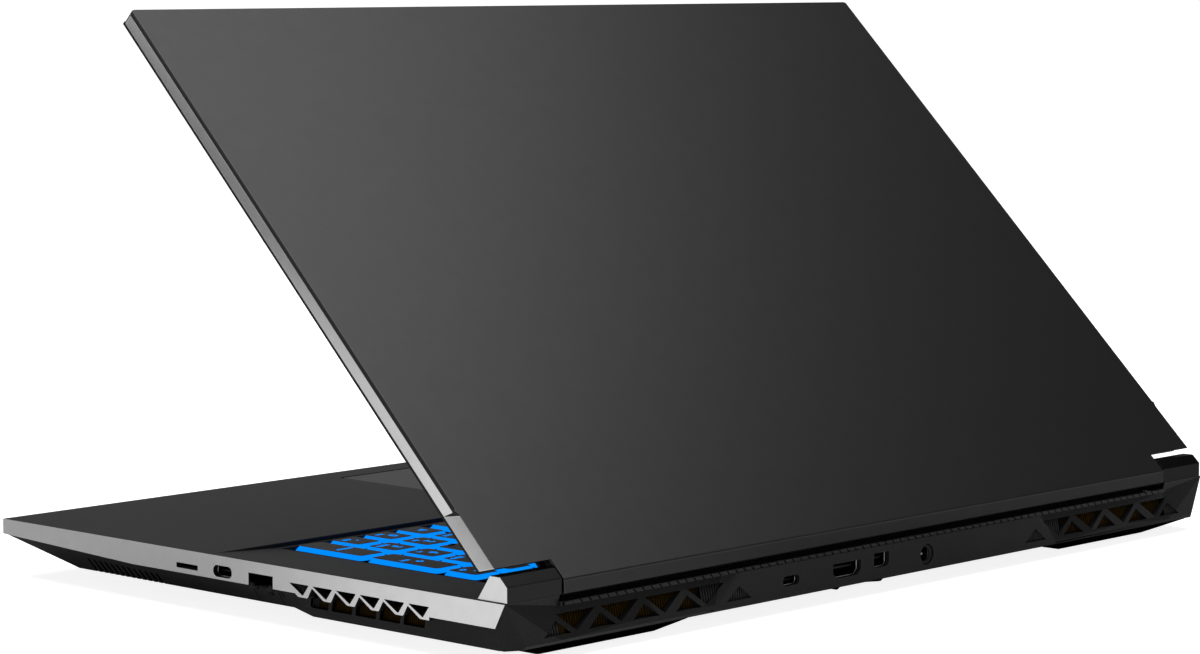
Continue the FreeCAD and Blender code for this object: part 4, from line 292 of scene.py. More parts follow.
def make_finishes():
    """Every material, by name"""
    tone, _, _ = settings()
    return {
        "lid": metal("lid_satin_metal", tone.lid, 0.37, 0.35 * MM, 1.8, 0.35),
        "deck": metal("deck_satin_metal", tone.deck, 0.5, 0.35 * MM, 1.6, 0.6, 0.7),
        "cap": metal("cap_satin_metal", tone.cap, 0.36, 0.35 * MM, 2.0, 0.35),
        "edge": metal("edge_metal", tone.edge, 0.24, 0.25 * MM, 1.1, 0.8),
        "cover": plastic("cover_grained_plastic", tone.cover, 0.62, 0.55 * MM, 0.03 * MM, 0.15),
        "teeth": plastic("teeth_plastic", shade(tone.cover, 1.3), 0.55, 0.55 * MM, 0.01 * MM, 0.15),
        "bezel": plastic("bezel_fine_plastic", tone.bezel, 0.55, 0.4 * MM, 0.02 * MM, 0.2),
        "key": plastic("key_plastic", tone.key, 0.6, 0.25 * MM, 0.012 * MM, 0.12, 1.2),
        "glow": glow("key_glow", tone.glow, 1.0),
        "copper": metal("pipe_copper", tone.copper, 0.32, 1.2 * MM, 1.3),
        "fin": plastic("fin_copper", tone.fin, 0.5, 1.2 * MM, 0.01 * MM, 0.0, 1.2),
        # A darker copy of the fin copper: painted shade on the fins' sides and tips
        "shaded_fin": plastic("fin_painted_shade_copper", shade(tone.fin, 0.5), 0.5, 1.2 * MM, 0.01 * MM, 0.0, 1.2),
        "steel": metal("plain_steel", tone.steel, 0.35, 0.3 * MM, 1.3),
        "rubber": plastic("black_rubber", tone.rubber, 0.8, 0.4 * MM, 0.02 * MM, 0.0, 1.3),
        "gold": metal("gilt_contact", (0.75, 0.5, 0.2), 0.25, 0.4 * MM, 1.2),
        "rib": plastic("rib_plastic", shade(tone.cover, 1.6), 0.6, 0.5 * MM, 0.01 * MM, 0.12),
        # A lighter copy of the cover plastic: painted light on the walls of hollows that lie in deep shade
        "trough": plastic("painted_light_trough_plastic", shade(tone.cover, 3.2), 0.6, 0.5 * MM, 0.01 * MM, 0.0),
        # A darker copy of the lid metal: painted shade on the chin
        "chin": metal("chin_painted_shade_metal", shade(tone.lid, 0.53), 0.34, 0.35 * MM, 1.8, 0.35),
        # A darker copy of the cover plastic: painted shade on the rear vent face below the chin
        "vent": plastic("vent_face_painted_shade_plastic", shade(tone.cover, 0.4), 0.62, 0.55 * MM, 0.03 * MM, 0.12),
        # Near-black: painted shadow in openings and hollows, and the colour of dark joint lines
        "void": plastic("shadow_plastic", (0.002, 0.002, 0.002), 0.9, 0.5 * MM, 0.01 * MM, 0.0, 1.0),
        "inner": plastic("inner_plastic", (0.012, 0.012, 0.013), 0.55, 0.5 * MM, 0.02 * MM, 0.15),
        "socket": plastic("socket_plastic", (0.016, 0.016, 0.017), 0.45, 0.4 * MM, 0.01 * MM, 0.2),
        "pad": metal("touchpad_film", shade(tone.deck, 1.4), 0.44, 0.3 * MM, 1.2, 0.95, 0.7),
        "screen": glass("screen_glass", (0.006, 0.006, 0.008), 0.12, 0.5),
        "board": board("board_laminate", (0.008, 0.03, 0.018), (0.015, 0.06, 0.035)),
        "chip": plastic("chip_epoxy", (0.015, 0.015, 0.016), 0.5, 0.3 * MM, 0.01 * MM),
    }


FINISH = {}


# Shapes

def between(value, span):
    return span[0] < value < span[1]


def bounds_of(points):
    """Lowest and highest corner of the box round some points"""
    points = list(points)
    return (Vector([min(point[i] for point in points) for i in range(3)]),
            Vector([max(point[i] for point in points) for i in range(3)]))


def sharp(edge, degrees):
    return len(edge.link_faces) == 2 and edge.calc_face_angle(0.0) > math.radians(degrees)


def cad_mesh(node):
    """A welded copy of a node's mesh with its flat faces made whole"""
    mesh = bmesh.new()
    mesh.from_mesh(NODES[node].data)
    bmesh.ops.remove_doubles(mesh, verts=mesh.verts, dist=0.002 * MM)
    bmesh.ops.dissolve_limit(mesh, angle_limit=math.radians(0.4), verts=mesh.verts, edges=mesh.edges)
    return mesh


def round_corners(mesh, axis, radius, chosen, segments=4):
    """Round the chosen sharp corners that run along an axis; a corner is named by its outer end"""
    edges = []
    for edge in mesh.edges:
        first, second = (vert.co for vert in edge.verts)
        along = abs((second - first).normalized()[axis]) > 0.999
        outer = first if abs(first[axis]) > abs(second[axis]) else second
        if along and sharp(edge, 25) and chosen(outer / MM):
            edges.append(edge)
    if not edges:
        raise RuntimeError("no corner to round")
    bmesh.ops.bevel(mesh, geom=edges, offset=radius, segments=segments, profile=0.5, affect="EDGES",
                    clamp_overlap=True, offset_type="OFFSET")


def piece(name, mesh, finishes, body, slot, *nodes):
    """A finished piece that stands for CAD nodes and rides on a body"""
    data = bpy.data.meshes.new(name)
    bmesh.ops.recalc_face_normals(mesh, faces=mesh.faces)
    for face in mesh.faces:
        face.smooth = True
    mesh.to_mesh(data)
    mesh.free()
    made = bpy.data.objects.new(name, data)
    bpy.context.scene.collection.objects.link(made)
    for finish in finishes:
        data.materials.append(FINISH[finish])
    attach(made, body)
    if nodes:
        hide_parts(*nodes)
    return made


def dress(made, finishes, chosen):
    """Give each face of a piece the finish that chosen names"""
    for face in made.data.polygons:
        face.material_index = finishes.index(chosen(face))


def soften(made, width, degrees=30, segments=2):
    """Round the edges a little and keep the flat faces flat"""
    bevel = made.modifiers.new("edges", "BEVEL")
    bevel.width = width
    bevel.segments = segments
    bevel.limit_method = "ANGLE"
    bevel.angle_limit = math.radians(degrees)
    bevel.use_clamp_overlap = True
    normals = made.modifiers.new("flat_faces", "WEIGHTED_NORMAL")
    normals.keep_sharp = True
    return made


def paint(finish, *nodes):
    """Give CAD nodes that keep their shape a finish"""
    for node in nodes:
        NODES[node].data.materials.clear()
        NODES[node].data.materials.append(FINISH[finish])


def solids(node):
    """The box of each separate solid of a node"""
    mesh = bmesh.new()
    mesh.from_mesh(NODES[node].data)
    bmesh.ops.remove_doubles(mesh, verts=mesh.verts, dist=0.002 * MM)
    left = set(mesh.verts)
    boxes = []
    while left:
        found = [left.pop()]
        for vert in found:
            for edge in vert.link_edges:
                other = edge.other_vert(vert)
                if other in left:
                    left.remove(other)
                    found.append(other)
        boxes.append(bounds_of(vert.co for vert in found))
    mesh.free()
    return sorted(boxes, key=lambda box: box[0][:])


def oblong(low, high):
    """Corners of a rectangle, counted against the clock"""
    return [Vector(p) for p in ((low[0], low[1]), (high[0], low[1]), (high[0], high[1]), (low[0], high[1]))]


def neighbours(points):
    """Each point of an outline between the one before it and the one after it"""
    return zip(points[-1:] + points[:-1], points, points[1:] + points[:1])


def inset(points, amount):
    """A convex outline moved inwards"""
    moved = []
    for before, point, after in neighbours(points):
        first, second = (point - before).normalized(), (after - point).normalized()
        inward = Vector((-first.y, first.x)), Vector((-second.y, second.x))
        moved.append(point + (inward[0] + inward[1]) * amount / (1 + inward[0].dot(inward[1])))
    return moved


def filleted(points, radius, steps=4):
    """An outline with rounded corners"""
    made = []
    for before, point, after in neighbours(points):
        first, second = before - point, after - point
        reach = radius * math.tan(first.angle(-second) / 2)
        reach = min(reach, first.length * 0.49, second.length * 0.49)
        start, end = point + first.normalized() * reach, point + second.normalized() * reach
        for step in range(steps + 1):
            part = step / steps
            made.append(start * (1 - part) ** 2 + point * 2 * part * (1 - part) + end * part ** 2)
    return made


def circle(radius, count=28):
    turns = [math.tau * i / count for i in range(count)]
    return [Vector((math.cos(turn), math.sin(turn))) * radius for turn in turns]


def raised(points, height, place=None):
    """An outline lifted to a height, in the frame of place"""
    made = [Vector((point.x, point.y, height)) for point in points]
    return [place @ point for point in made] if place else made


def stepped(outline, corner, levels, place=None):
    """Loops that follow a rounded outline, each moved inwards by an amount and lifted to a height"""
    return [raised(filleted(inset(outline, amount), corner), height, place) for amount, height in levels]


def slab(mesh, corners, depth, finish=0):
    """A block between a flat outline and the same outline moved by depth"""
    near = [mesh.verts.new(corner) for corner in corners]
    far = [mesh.verts.new(Vector(corner) + Vector(depth)) for corner in corners]
    sides = [(near[i - 1], far[i - 1], far[i], near[i]) for i in range(len(near))]
    for face in (near, far[::-1], *sides):
        mesh.faces.new(face).material_index = finish


def block(mesh, low, high, finish=0):
    """A block between two corners"""
    slab(mesh, raised(oblong(low, high), low[2]), (0, 0, high[2] - low[2]), finish)


def skin(mesh, loops, finishes, cap=None):
    """Faces between loops of points, each band with its own finish; cap closes the last loop"""
    rows = [[mesh.verts.new(point) for point in loop] for loop in loops]
    bands = []
    for first, second, finish in zip(rows, rows[1:], finishes):
        bands.append([])
        for i in range(len(first)):
            j = (i + 1) % len(first)
            face = mesh.faces.new((first[i], first[j], second[j], second[i]))
            face.material_index = finish
            bands[-1].append(face)
    if cap is not None:
        mesh.faces.new(rows[-1]).material_index = cap
    return bands


def letters(mesh, text, size, place, depth, finish):
    """Letters centred on a place, facing up, that reach down by a depth"""
    curve = bpy.data.curves.new("legend", "FONT")
    curve.body = text
    curve.size = size
    curve.offset = size * 0.04
    curve.extrude = depth / 2
    curve.align_x = "CENTER"
    curve.align_y = "CENTER"
    curve.resolution_u = 3
    holder = bpy.data.objects.new("legend", curve)
    raw = bpy.data.meshes.new_from_object(holder)
    raw.transform(Matrix.Translation(place - Vector((0, 0, depth / 2))))
    known = set(mesh.verts)
    before = len(mesh.faces)
    mesh.from_mesh(raw)
    mesh.faces.ensure_lookup_table()
    for face in mesh.faces[before:]:
        face.material_index = finish
    bmesh.ops.remove_doubles(mesh, verts=[v for v in mesh.verts if v not in known], dist=0.001 * MM)
    bpy.data.objects.remove(holder)
    bpy.data.curves.remove(curve)
    bpy.data.meshes.remove(raw)


def arrow(mesh, turn, size, place, depth, finish):
    """An arrow head that reaches down by a depth"""
    corners = [Vector((-0.5, -0.45, 0)), Vector((0.5, -0.45, 0)), Vector((0, 0.45, 0))]
    spin = Matrix.Rotation(math.radians(turn), 3, "Z")
    slab(mesh, [place + spin @ corner * size for corner in corners], (0, 0, -depth), finish)


# Operators

class LAPTOP_OT_finishes(Operator):
    """Make the laptop's materials"""
    bl_idname = "laptop.finishes"
    bl_label = "Finishes"

    def execute(self, context):
        FINISH.clear()
        FINISH.update(make_finishes())
        return {"FINISHED"}


# Places on the lid in millimetres
LID_STRIP_X = 196.0  # a side strip lies beyond this
CHIN_Z = (24.0, 35.0)  # the chin's top edge and the whole chin lie between these
CHIN_LONG = 200.0  # the chin's edges are longer than this
EAR_FRONT_Z, EAR_REAR_Z = 46.98, 47.9  # ends of the step near the foot of a side strip
LID_FINISHES = ["lid", "edge", "cap", "chin", "bezel"]


class LAPTOP_OT_lid(Operator):
    """Lid cover, bezel, screen and camera"""
    bl_idname = "laptop.lid"
    bl_label = "Lid"

    def execute(self, context):
        _, size, _ = settings()
        mesh = cad_mesh("lid_cover")
        for face in mesh.faces:
            face.material_index = LID_FINISHES.index(self.finish(face))
        for side in (1, -1):
            self.ear(mesh, side, size.ear_step)
        self.brow(mesh, size.brow)
        soften(piece("lid_shell", mesh, LID_FINISHES, "lid", "lid_metal", "lid_cover"), size.lid_edge)
        mesh = cad_mesh("screen_bezel")
        soften(piece("bezel_frame", mesh, ["bezel"], "lid", "bezel_plastic", "screen_bezel"), size.lid_edge)
        paint("screen", "display_panel")
        paint("bezel", "camera_module")
        paint("rubber", "lid_bumpers")
        return {"FINISHED"}

    def finish(self, face):
        spot = face.calc_center_median() / MM
        if abs(face.normal.x) > 0.9 and abs(spot.x) > LID_STRIP_X:
            return "edge"
        # The chin's faces take the darker copy of the lid metal as painted shade
        if face.normal.y > 0.85 and spot.z < CHIN_Z[1]:
            return "chin"
        return "bezel" if face.normal.y < -0.5 and face.normal.z < -0.5 else "lid"

    def brow(self, mesh, width):
        """Round the edge between the lid's back and its chin"""
        pair = {LID_FINISHES.index("lid"), LID_FINISHES.index("chin")}
        edges = []
        for edge in mesh.edges:
            long = edge.calc_length() > CHIN_LONG * MM and edge.verts[0].co.z > CHIN_Z[0] * MM
            if long and {face.material_index for face in edge.link_faces} == pair:
                edges.append(edge)
        if len(edges) != 1:
            raise RuntimeError("the chin has %d long edges" % len(edges))
        bmesh.ops.bevel(mesh, geom=edges, offset=width, segments=3, profile=0.5, affect="EDGES",
                        offset_type="OFFSET", material=LID_FINISHES.index("lid"))

    def ear(self, mesh, side, depth):
        """Set the lowest part of a side strip back at its rear edge, below a step in the caps' dark finish as
        painted shade
        """
        outer = max((f for f in mesh.faces if f.normal.x * side > 0.99), key=lambda f: f.calc_area())
        front, rear, step = sorted(outer.verts, key=lambda v: v.co.z)[:3]
        run = next(e for e in front.link_edges if e in outer.edges[:] and rear not in e.verts)
        rise = next(e for e in rear.link_edges if e in outer.edges[:] and front not in e.verts)
        upper = rise.other_vert(rear)
        notch = self.cut(run, front, EAR_FRONT_Z * MM)
        heel = self.cut(rise, rear, EAR_REAR_Z * MM)
        bmesh.utils.face_split(outer, notch, step)
        lower = next(f for f in mesh.faces if {notch, front, rear, heel}.issubset(f.verts))
        bmesh.utils.face_split(lower, notch, heel)
        wedge = next(f for f in mesh.faces if {notch, heel, upper}.issubset(f.verts))
        # The wedge takes the caps' dark finish as painted shade
        wedge.material_index = LID_FINISHES.index("cap")
        for vert in (heel, rear):
            vert.co.x -= side * depth

    def cut(self, edge, start, height):
        """A new vertex on an edge, at a height"""
        low, high = start.co.z, edge.other_vert(start).co.z
        return bmesh.utils.edge_split(edge, start, (height - low) / (high - low))[1]


# Places on the deck's side strips in millimetres
VENTS_Y, VENTS_TOP = (27.0, 97.0), 16.5
CARD_SLOT_Y, CARD_SLOT_CORNER = (-33.0, -20.0), 0.3
OVAL_PORT_Y, OVAL_PORT_CORNER = (-13.0, -2.0), 1.95
NOTCH_X, NOTCH_PITCH, NOTCH_COUNT = 195.0, 11.9, 6
NOTCH_TOP, NOTCH_FOOT = (39.28, 15.0), (44.33, 11.7)  # depth and height of the first notch's two corners
NOTCH_TOP_MOVE, NOTCH_FOOT_MOVE = (0, 0.15, 0.45), (0, 0.95, 0)

# Hollows of the deck in millimetres
HINGE_HOLLOW_Y, HINGE_HOLLOW_X = 118.0, 173.0
KEY_WELL_Y, KEY_WELL_X = (-20.0, 108.0), 172.0


class LAPTOP_OT_case(Operator):
    """Deck with its side strips"""
    bl_idname = "laptop.case"
    bl_label = "Case"

    def execute(self, context):
        _, size, _ = settings()
        mesh = cad_mesh("top_case")
        low, high = (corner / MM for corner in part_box("top_case"))
        outer = high.x - 0.05
        self.webs(mesh)
        round_corners(mesh, 0, size.vent_corner,
                      lambda p: abs(p.x) > outer and between(p.y, VENTS_Y) and p.z < VENTS_TOP)
        for span, corner in ((CARD_SLOT_Y, CARD_SLOT_CORNER), (OVAL_PORT_Y, OVAL_PORT_CORNER)):
            round_corners(mesh, 0, corner * MM, lambda p: p.x > outer and between(p.y, span))
        finishes = ["deck", "edge", "inner", "trough", "cap"]
        case = piece("deck_shell", mesh, finishes, "base", "deck_metal", "top_case")
        dress(case, finishes, lambda face: self.finish(face, low, high))
        soften(case, size.deck_edge).modifiers["edges"].material = finishes.index("cap")
        return {"FINISHED"}

    def webs(self, mesh):
        """Thin the slanted webs between the side vents and the notches below them"""
        for vert in mesh.verts:
            spot = vert.co / MM
            for step in range(NOTCH_COUNT) if abs(spot.x) > NOTCH_X else ():
                place = Vector((spot.y - NOTCH_PITCH * step, spot.z))
                for corner, move in ((NOTCH_TOP, NOTCH_TOP_MOVE), (NOTCH_FOOT, NOTCH_FOOT_MOVE)):
                    if max(abs(part) for part in place - Vector(corner)) < 0.1:
                        vert.co += Vector(move) * MM

    def finish(self, face, low, high):
        spot, normal = face.center / MM, face.normal
        if abs(spot.x) > high.x - 0.2 and abs(normal.x) > 0.9:
            return "edge"
        # Hinge hollow faces that face the rear or up, and the key well's walls, take the lighter trough
        # plastic as painted light in their shade
        if spot.y > HINGE_HOLLOW_Y and abs(spot.x) < HINGE_HOLLOW_X and spot.z < high.z - 0.05:
            return "trough" if normal.y > 0.3 or normal.z > 0.3 else "inner"
        if between(spot.y, KEY_WELL_Y) and abs(spot.x) < KEY_WELL_X and abs(normal.z) < 0.5:
            return "trough"
        if normal.z > 0.3 and spot.z > high.z - 3.0 or spot.y < low.y + 0.5:
            return "deck"
        return "inner"


class LAPTOP_OT_caps(Operator):
    """Hinge caps"""
    bl_idname = "laptop.caps"
    bl_label = "Hinge caps"

    def execute(self, context):
        _, size, _ = settings()
        finishes = ["cap", "edge"]
        for name, side in (("right", 1), ("left", -1)):
            node = "hinge_cap_" + name
            cap = piece("cap_" + name, cad_mesh(node), finishes, "base", "deck_metal", node)
            dress(cap, finishes, lambda face: "edge" if face.normal.x * side > 0.9 else "cap")
            soften(cap, size.shell_edge)
        return {"FINISHED"}


# Places on the bottom cover in millimetres
WINDOWS_Y, WINDOWS_X, WINDOWS_Z = (35.0, 95.0), 190.0, 7.0
WINDOW_MOUTH_X = 195.4
SLITS_Y, SLITS_X = (-92.0, -45.0), 185.0
FLAP_LINES = (((193.95, 3.45, 10.85), (189.2, 2.4, 5.2)), ((193.65, 16.5, 10.5), (189.2, 15.4, 5.2)))
FLAP_LINE_WIDE = 0.3
SLANT_IN = Vector((-0.767, 0, 0.642))  # into the slanted side of the cover

# The network socket's jaws: where the slanted side starts and leans, and outlines across and up
SOCKET_Y = 12.8
SLANT_X, SLANT_LEAN = 184.83, 0.8365
JAW_SIDE = ((6.5, 12.2), (1.4, 12.2), (0.25, 8.7), (6.5, 8.7))
JAW_FACE = ((6.0, 13.7), (3.9, 13.7), (3.9, 12.8), (2.3, 12.8), (2.3, 11.6), (6.0, 11.6))
JAW_FACE_X, JAW_DEEP = (197.0, 198.25), 0.8


class LAPTOP_OT_bottom(Operator):
    """Bottom cover with its flap and the jaws of the network socket"""
    bl_idname = "laptop.bottom"
    bl_label = "Bottom cover"

    def execute(self, context):
        _, size, _ = settings()
        mesh = cad_mesh("bottom_cover")
        round_corners(mesh, 0, size.vent_corner,
                      lambda p: abs(p.x) > WINDOW_MOUTH_X and between(p.y, WINDOWS_Y))
        finishes = ["cover", "void"]
        cover = piece("bottom_shell", mesh, finishes, "base", "cover_plastic", "bottom_cover")
        dress(cover, finishes, self.finish)
        soften(cover, size.shell_edge)
        self.lines()
        self.jaws()
        return {"FINISHED"}

    def finish(self, face):
        spot = face.center / MM
        window = between(spot.y, WINDOWS_Y) and abs(spot.x) > WINDOWS_X and spot.z > WINDOWS_Z
        slit = between(spot.y, SLITS_Y) and abs(spot.x) > SLITS_X
        # Faces inside the cooling windows and the slits take the near-black finish as painted shadow
        if window and abs(face.normal.x) < 0.9 or slit and abs(face.normal.y) > 0.9:
            return "void"
        return "cover"

    def lines(self):
        """Fine joint lines of the flap below the network socket"""
        mesh = bmesh.new()
        out, wide = Vector((0.02, 0, 0)), Vector((0, FLAP_LINE_WIDE, 0))
        for ends in FLAP_LINES:
            top, foot = (Vector(end) + out for end in ends)
            corners = [corner * MM for corner in (top, top + wide, foot + wide, foot)]
            slab(mesh, corners, SLANT_IN * FLAP_LINE_WIDE * MM)
        piece("flap_lines", mesh, ["void"], "base", "cover_plastic")

    def jaws(self):
        """The two jaws of the network socket, with a stepped gap between them"""
        mesh = bmesh.new()
        for side in (1, -1):
            outer = [Vector((SLANT_X + SLANT_LEAN * z, SOCKET_Y + side * y, z)) * MM for y, z in JAW_SIDE]
            skin(mesh, [[point + SLANT_IN * JAW_DEEP * MM for point in outer], outer], [0], 0)
            skin(mesh, [[Vector((x, SOCKET_Y + side * y, z)) * MM for y, z in JAW_FACE] for x in JAW_FACE_X],
                 [0], 0)
        piece("network_jaws", mesh, ["cover"], "base", "cover_plastic")


class LAPTOP_OT_feet(Operator):
    """Rubber feet"""
    bl_idname = "laptop.feet"
    bl_label = "Feet"

    def execute(self, context):
        _, size, _ = settings()
        for node in ("rear_feet", "front_foot"):
            foot = piece(node + "_rubber", cad_mesh(node), ["rubber"], "base", "black_rubber", node)
            soften(foot, size.foot_edge)
        return {"FINISHED"}


class LAPTOP_OT_screws(Operator):
    """Screws of the bottom cover, with a cross in each head"""
    bl_idname = "laptop.screws"
    bl_label = "Bottom screws"

    def execute(self, context):
        mesh = bmesh.new()
        for low, high in solids("bottom_screws"):
            middle = (low + high) / 2
            radius = (high.x - low.x) / 2
            turn = Matrix.Translation((middle.x, middle.y, low.z)) @ Matrix.Rotation(math.pi, 4, "X")
            arm, half = radius * 0.55, radius * 0.16
            quarter = [Vector(p) for p in ((half, half), (half, arm), (-half, arm))]
            cross = [Matrix.Rotation(math.pi / 2 * i, 2) @ p for i in range(4) for p in quarter]
            spread = [p.normalized() * radius for p in cross]
            levels = [(spread, low.z - high.z), (spread, -0.2 * MM), ([p * 0.9 for p in spread], 0.0),
                      (cross, 0.0), ([p * 0.7 for p in cross], -0.5 * MM)]
            # The cross's walls and floor take the dark inner plastic as painted shade in the recess
            skin(mesh, [raised(points, height, turn) for points, height in levels], [0, 0, 0, 1], 1)
        piece("cover_screws", mesh, ["steel", "inner"], "base", "steel", "bottom_screws")
        return {"FINISHED"}


# Places on the rear panel in millimetres
VENTS_X, VENTS_Z = 75.0, (7.5, 15.2)
VENT_FACE_Y, VENT_FACE_Z, VENT_FACE_LEAN = 133.49, 8.05, 0.2073  # a point of the slanted face and its slope
VENT_FACE_NORMAL_Z = 0.203
SMALL_VENT_X, SMALL_VENT_Z = 85.5, (7.8, 13.2)  # middle and height of the small vent on the port face
SMALL_VENT_SPAN, SMALL_VENT_TOP, SMALL_VENT_FLOOR = (75.0, 95.0), 14.0, (132.8, 133.1)
PANEL_REAR_Y, PANEL_FOOT_Z = 134.0, 5.3

# Ports: middle, half width, height that parts the corners, lower and upper corner, steps of the lower ones
REAR_PORTS = (
    (57.75, 5.0, 11.0, 1.7, 1.7, 4),
    (27.0, 9.0, 11.0, 2.0, 0.4, 1),
    (7.5, 5.0, 12.0, 1.3, 0.4, 1),
)

# Ribs behind the vents: first rib, count, pitch, foot, top, and whether they are copper
REAR_RIBS = (
    (91.0, 10, 1.3, 7.6, 15.2, False),
    (171.0, 3, 0.9, 7.6, 15.2, True),
    (173.8, 3, 0.9, 12.9, 15.2, True),
    (173.8, 8, 1.2, 7.6, 12.9, False),
)
RIB_WIDE, RIB_BACK = 0.6, (1.1, 0.6)  # width, and how far the two faces lie behind the vent face
SMALL_RIBS, SMALL_RIB_PITCH, SMALL_RIB_Y = 11, 1.2, (132.85, 133.35)

END_TEETH_X, END_TOOTH = (167.6, -171.6), (4.0, 0.3, 1.1)
END_TEETH_Y, END_TEETH_Z = 133.2, 17.65


class LAPTOP_OT_rear(Operator):
    """Rear panel, its rib inserts and the row of teeth"""
    bl_idname = "laptop.rear"
    bl_label = "Rear panel"

    def execute(self, context):
        _, size, _ = settings()
        mesh = cad_mesh("rear_panel")
        round_corners(mesh, 1, size.vent_corner, lambda p: self.in_vents(p) and p.y > self.face(p.z) - 0.1)
        for port in REAR_PORTS:
            self.port_corners(mesh, *port)
        self.undercut(mesh, size.undercut)
        finishes = ["cover", "void", "vent"]
        panel = piece("rear_face", mesh, finishes, "base", "cover_plastic", "rear_panel")
        dress(panel, finishes, self.finish)
        soften(panel, size.shell_edge)
        self.teeth()
        self.ribs()
        return {"FINISHED"}

    def face(self, height):
        """Depth of the vent face at a height, in millimetres"""
        return VENT_FACE_Y - VENT_FACE_LEAN * (height - VENT_FACE_Z)

    def in_vents(self, spot):
        return abs(spot.x) > VENTS_X and between(spot.z, VENTS_Z)

    def port_corners(self, mesh, middle, half, split, lower, upper, steps):
        """Round or cut the corners of a port's opening"""
        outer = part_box("rear_panel")[1].y / MM - 0.15
        for part, corner, count in ((-1, lower, steps), (1, upper, 4)):
            round_corners(mesh, 1, corner * MM, lambda p: p.y > outer and abs(p.x - middle) < half
                          and (p.z - split) * part > 0, count)

    def undercut(self, mesh, width):
        """Cut the lower rear edge back, so that the feet show below it"""
        edges = []
        for edge in mesh.edges:
            first, second = (vert.co / MM for vert in edge.verts)
            low = max(first.z, second.z) < PANEL_FOOT_Z
            if low and min(first.y, second.y) > PANEL_REAR_Y and sharp(edge, 25):
                edges.append(edge)
        bmesh.ops.bevel(mesh, geom=edges, offset=width, segments=1, affect="EDGES", offset_type="OFFSET")

    def finish(self, face):
        spot, rearward = face.center / MM, face.normal.y > 0.9
        blind = self.in_vents(spot) and spot.y < self.face(spot.z) - 0.6
        small = between(abs(spot.x), SMALL_VENT_SPAN) and between(spot.y, SMALL_VENT_FLOOR)
        # Rear faces deep in the vents and the small vent's floor take the near-black finish as painted shadow
        if rearward and (blind or small and spot.z < SMALL_VENT_TOP):
            return "void"
        # The slanted vent face takes the darker vent plastic as painted shade from the chin above it
        return "vent" if rearward and abs(face.normal.z - VENT_FACE_NORMAL_Z) < 0.03 else "cover"

    def teeth(self):
        """The row of teeth, with one more tooth at each end"""
        mesh = cad_mesh("rear_teeth")
        for left in END_TEETH_X:
            low = Vector((left, END_TEETH_Y, END_TEETH_Z))
            block(mesh, low * MM, (low + Vector(END_TOOTH)) * MM)
        finishes = ["teeth", "void"]
        teeth = piece("teeth_strip", mesh, finishes, "base", "cover_plastic", "rear_teeth")
        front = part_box("rear_teeth")[1].y - 0.15 * MM
        # All but the teeth's front faces take the near-black finish as painted shadow
        dress(teeth, finishes, lambda face: "teeth" if face.center.y > front else "void")
        soften(teeth, 0.1 * MM)

    def ribs(self):
        """Ribs behind the vents; the copper ones are on the right only"""
        mesh = bmesh.new()
        for side in (1, -1):
            for start, count, pitch, foot, top, copper in REAR_RIBS:
                for step in range(0 if copper and side < 0 else count):
                    left = side * (start + pitch * step)
                    behind, before = RIB_BACK
                    outline = ((foot, behind), (foot, before), (top, before), (top, behind))
                    corners = [Vector((left, self.face(z) - back, z)) * MM for z, back in outline]
                    # Copper ribs take the darker fin copper as painted shade
                    slab(mesh, corners, (RIB_WIDE * MM, 0, 0), 1 if copper else 0)
            first = side * SMALL_VENT_X - SMALL_RIB_PITCH * SMALL_RIBS / 2
            for step in range(SMALL_RIBS):
                left = first + SMALL_RIB_PITCH * step
                low = Vector((left, SMALL_RIB_Y[0], SMALL_VENT_Z[0]))
                block(mesh, low * MM, Vector((left + RIB_WIDE, SMALL_RIB_Y[1], SMALL_VENT_Z[1])) * MM)
        piece("rear_ribs", mesh, ["rib", "shaded_fin"], "base", "cover_plastic")


# Ribs behind the first side vent in millimetres: first rib, count, inner and outer face, foot, top
SIDE_RIBS = ((27.6, 9, 195.6, 197.4, 11.6, 16.4), (35.0, 4, 193.4, 195.0, 8.0, 12.6))
SIDE_RIB_PITCH, SIDE_RIB_WIDE, SIDE_RIB_WALL = 1.2, 0.35, 0.2


class LAPTOP_OT_side_ribs(Operator):
    """Rib inserts behind the first vent of each side"""
    bl_idname = "laptop.side_ribs"
    bl_label = "Side ribs"

    def execute(self, context):
        mesh = bmesh.new()
        for side in (1, -1):
            for start, count, inner, outer, foot, top in SIDE_RIBS:
                for step in range(count):
                    low = Vector((side * inner, start + SIDE_RIB_PITCH * step, foot))
                    block(mesh, low * MM, Vector((side * outer, low.y + SIDE_RIB_WIDE, top)) * MM)
                # A near-black wall behind each set of ribs, as painted shadow
                low = Vector((side * (inner - SIDE_RIB_WALL), start, foot))
                block(mesh, low * MM, Vector((side * inner, start + SIDE_RIB_PITCH * count, top)) * MM, 1)
        piece("side_vent_ribs", mesh, ["rib", "void"], "base", "cover_plastic")
        return {"FINISHED"}


ROWS = {
    "keys_modifier_row": ["ctrl", "fn", "sys", "alt", "alt", "menu", "ctrl", "<", "v"],
    "keys_shift_row": ["shift", *"ZXCVBNM", ", <", ". >", "/ ?", "shift", "^"],
    "keys_home_row": ["caps", *"ASDFGHJKL", "; :", "' @", "enter"],
    "keys_tab_row": ["tab", *"QWERTYUIOP", "[ {", "] }", "\\ |"],
    "keys_number_row": ["` ~", *map(" ".join, zip("1234567890-=", "!@#$%^&*()_+")), "back"],
    "keys_function_row": ["esc", *("f%d" % i for i in range(1, 13)), "prt", "ins", "del", "home", "end",
                          "pg"],
    "key_space_bar": [""],
    "keys_number_pad": [">", "0 ins", ". del", "enter", "1 end", "2 dn", "3 pgdn", "4 lt", "5", "6 rt",
                        "+ ent", "7 home", "8 up", "9 pgup", "num", "/ fn", "* prt", "- clr"],
}
ARROWS = {"^": 0, "<": 90, "v": 180, ">": 270}
HOME_KEYS = ("F", "J", "5")

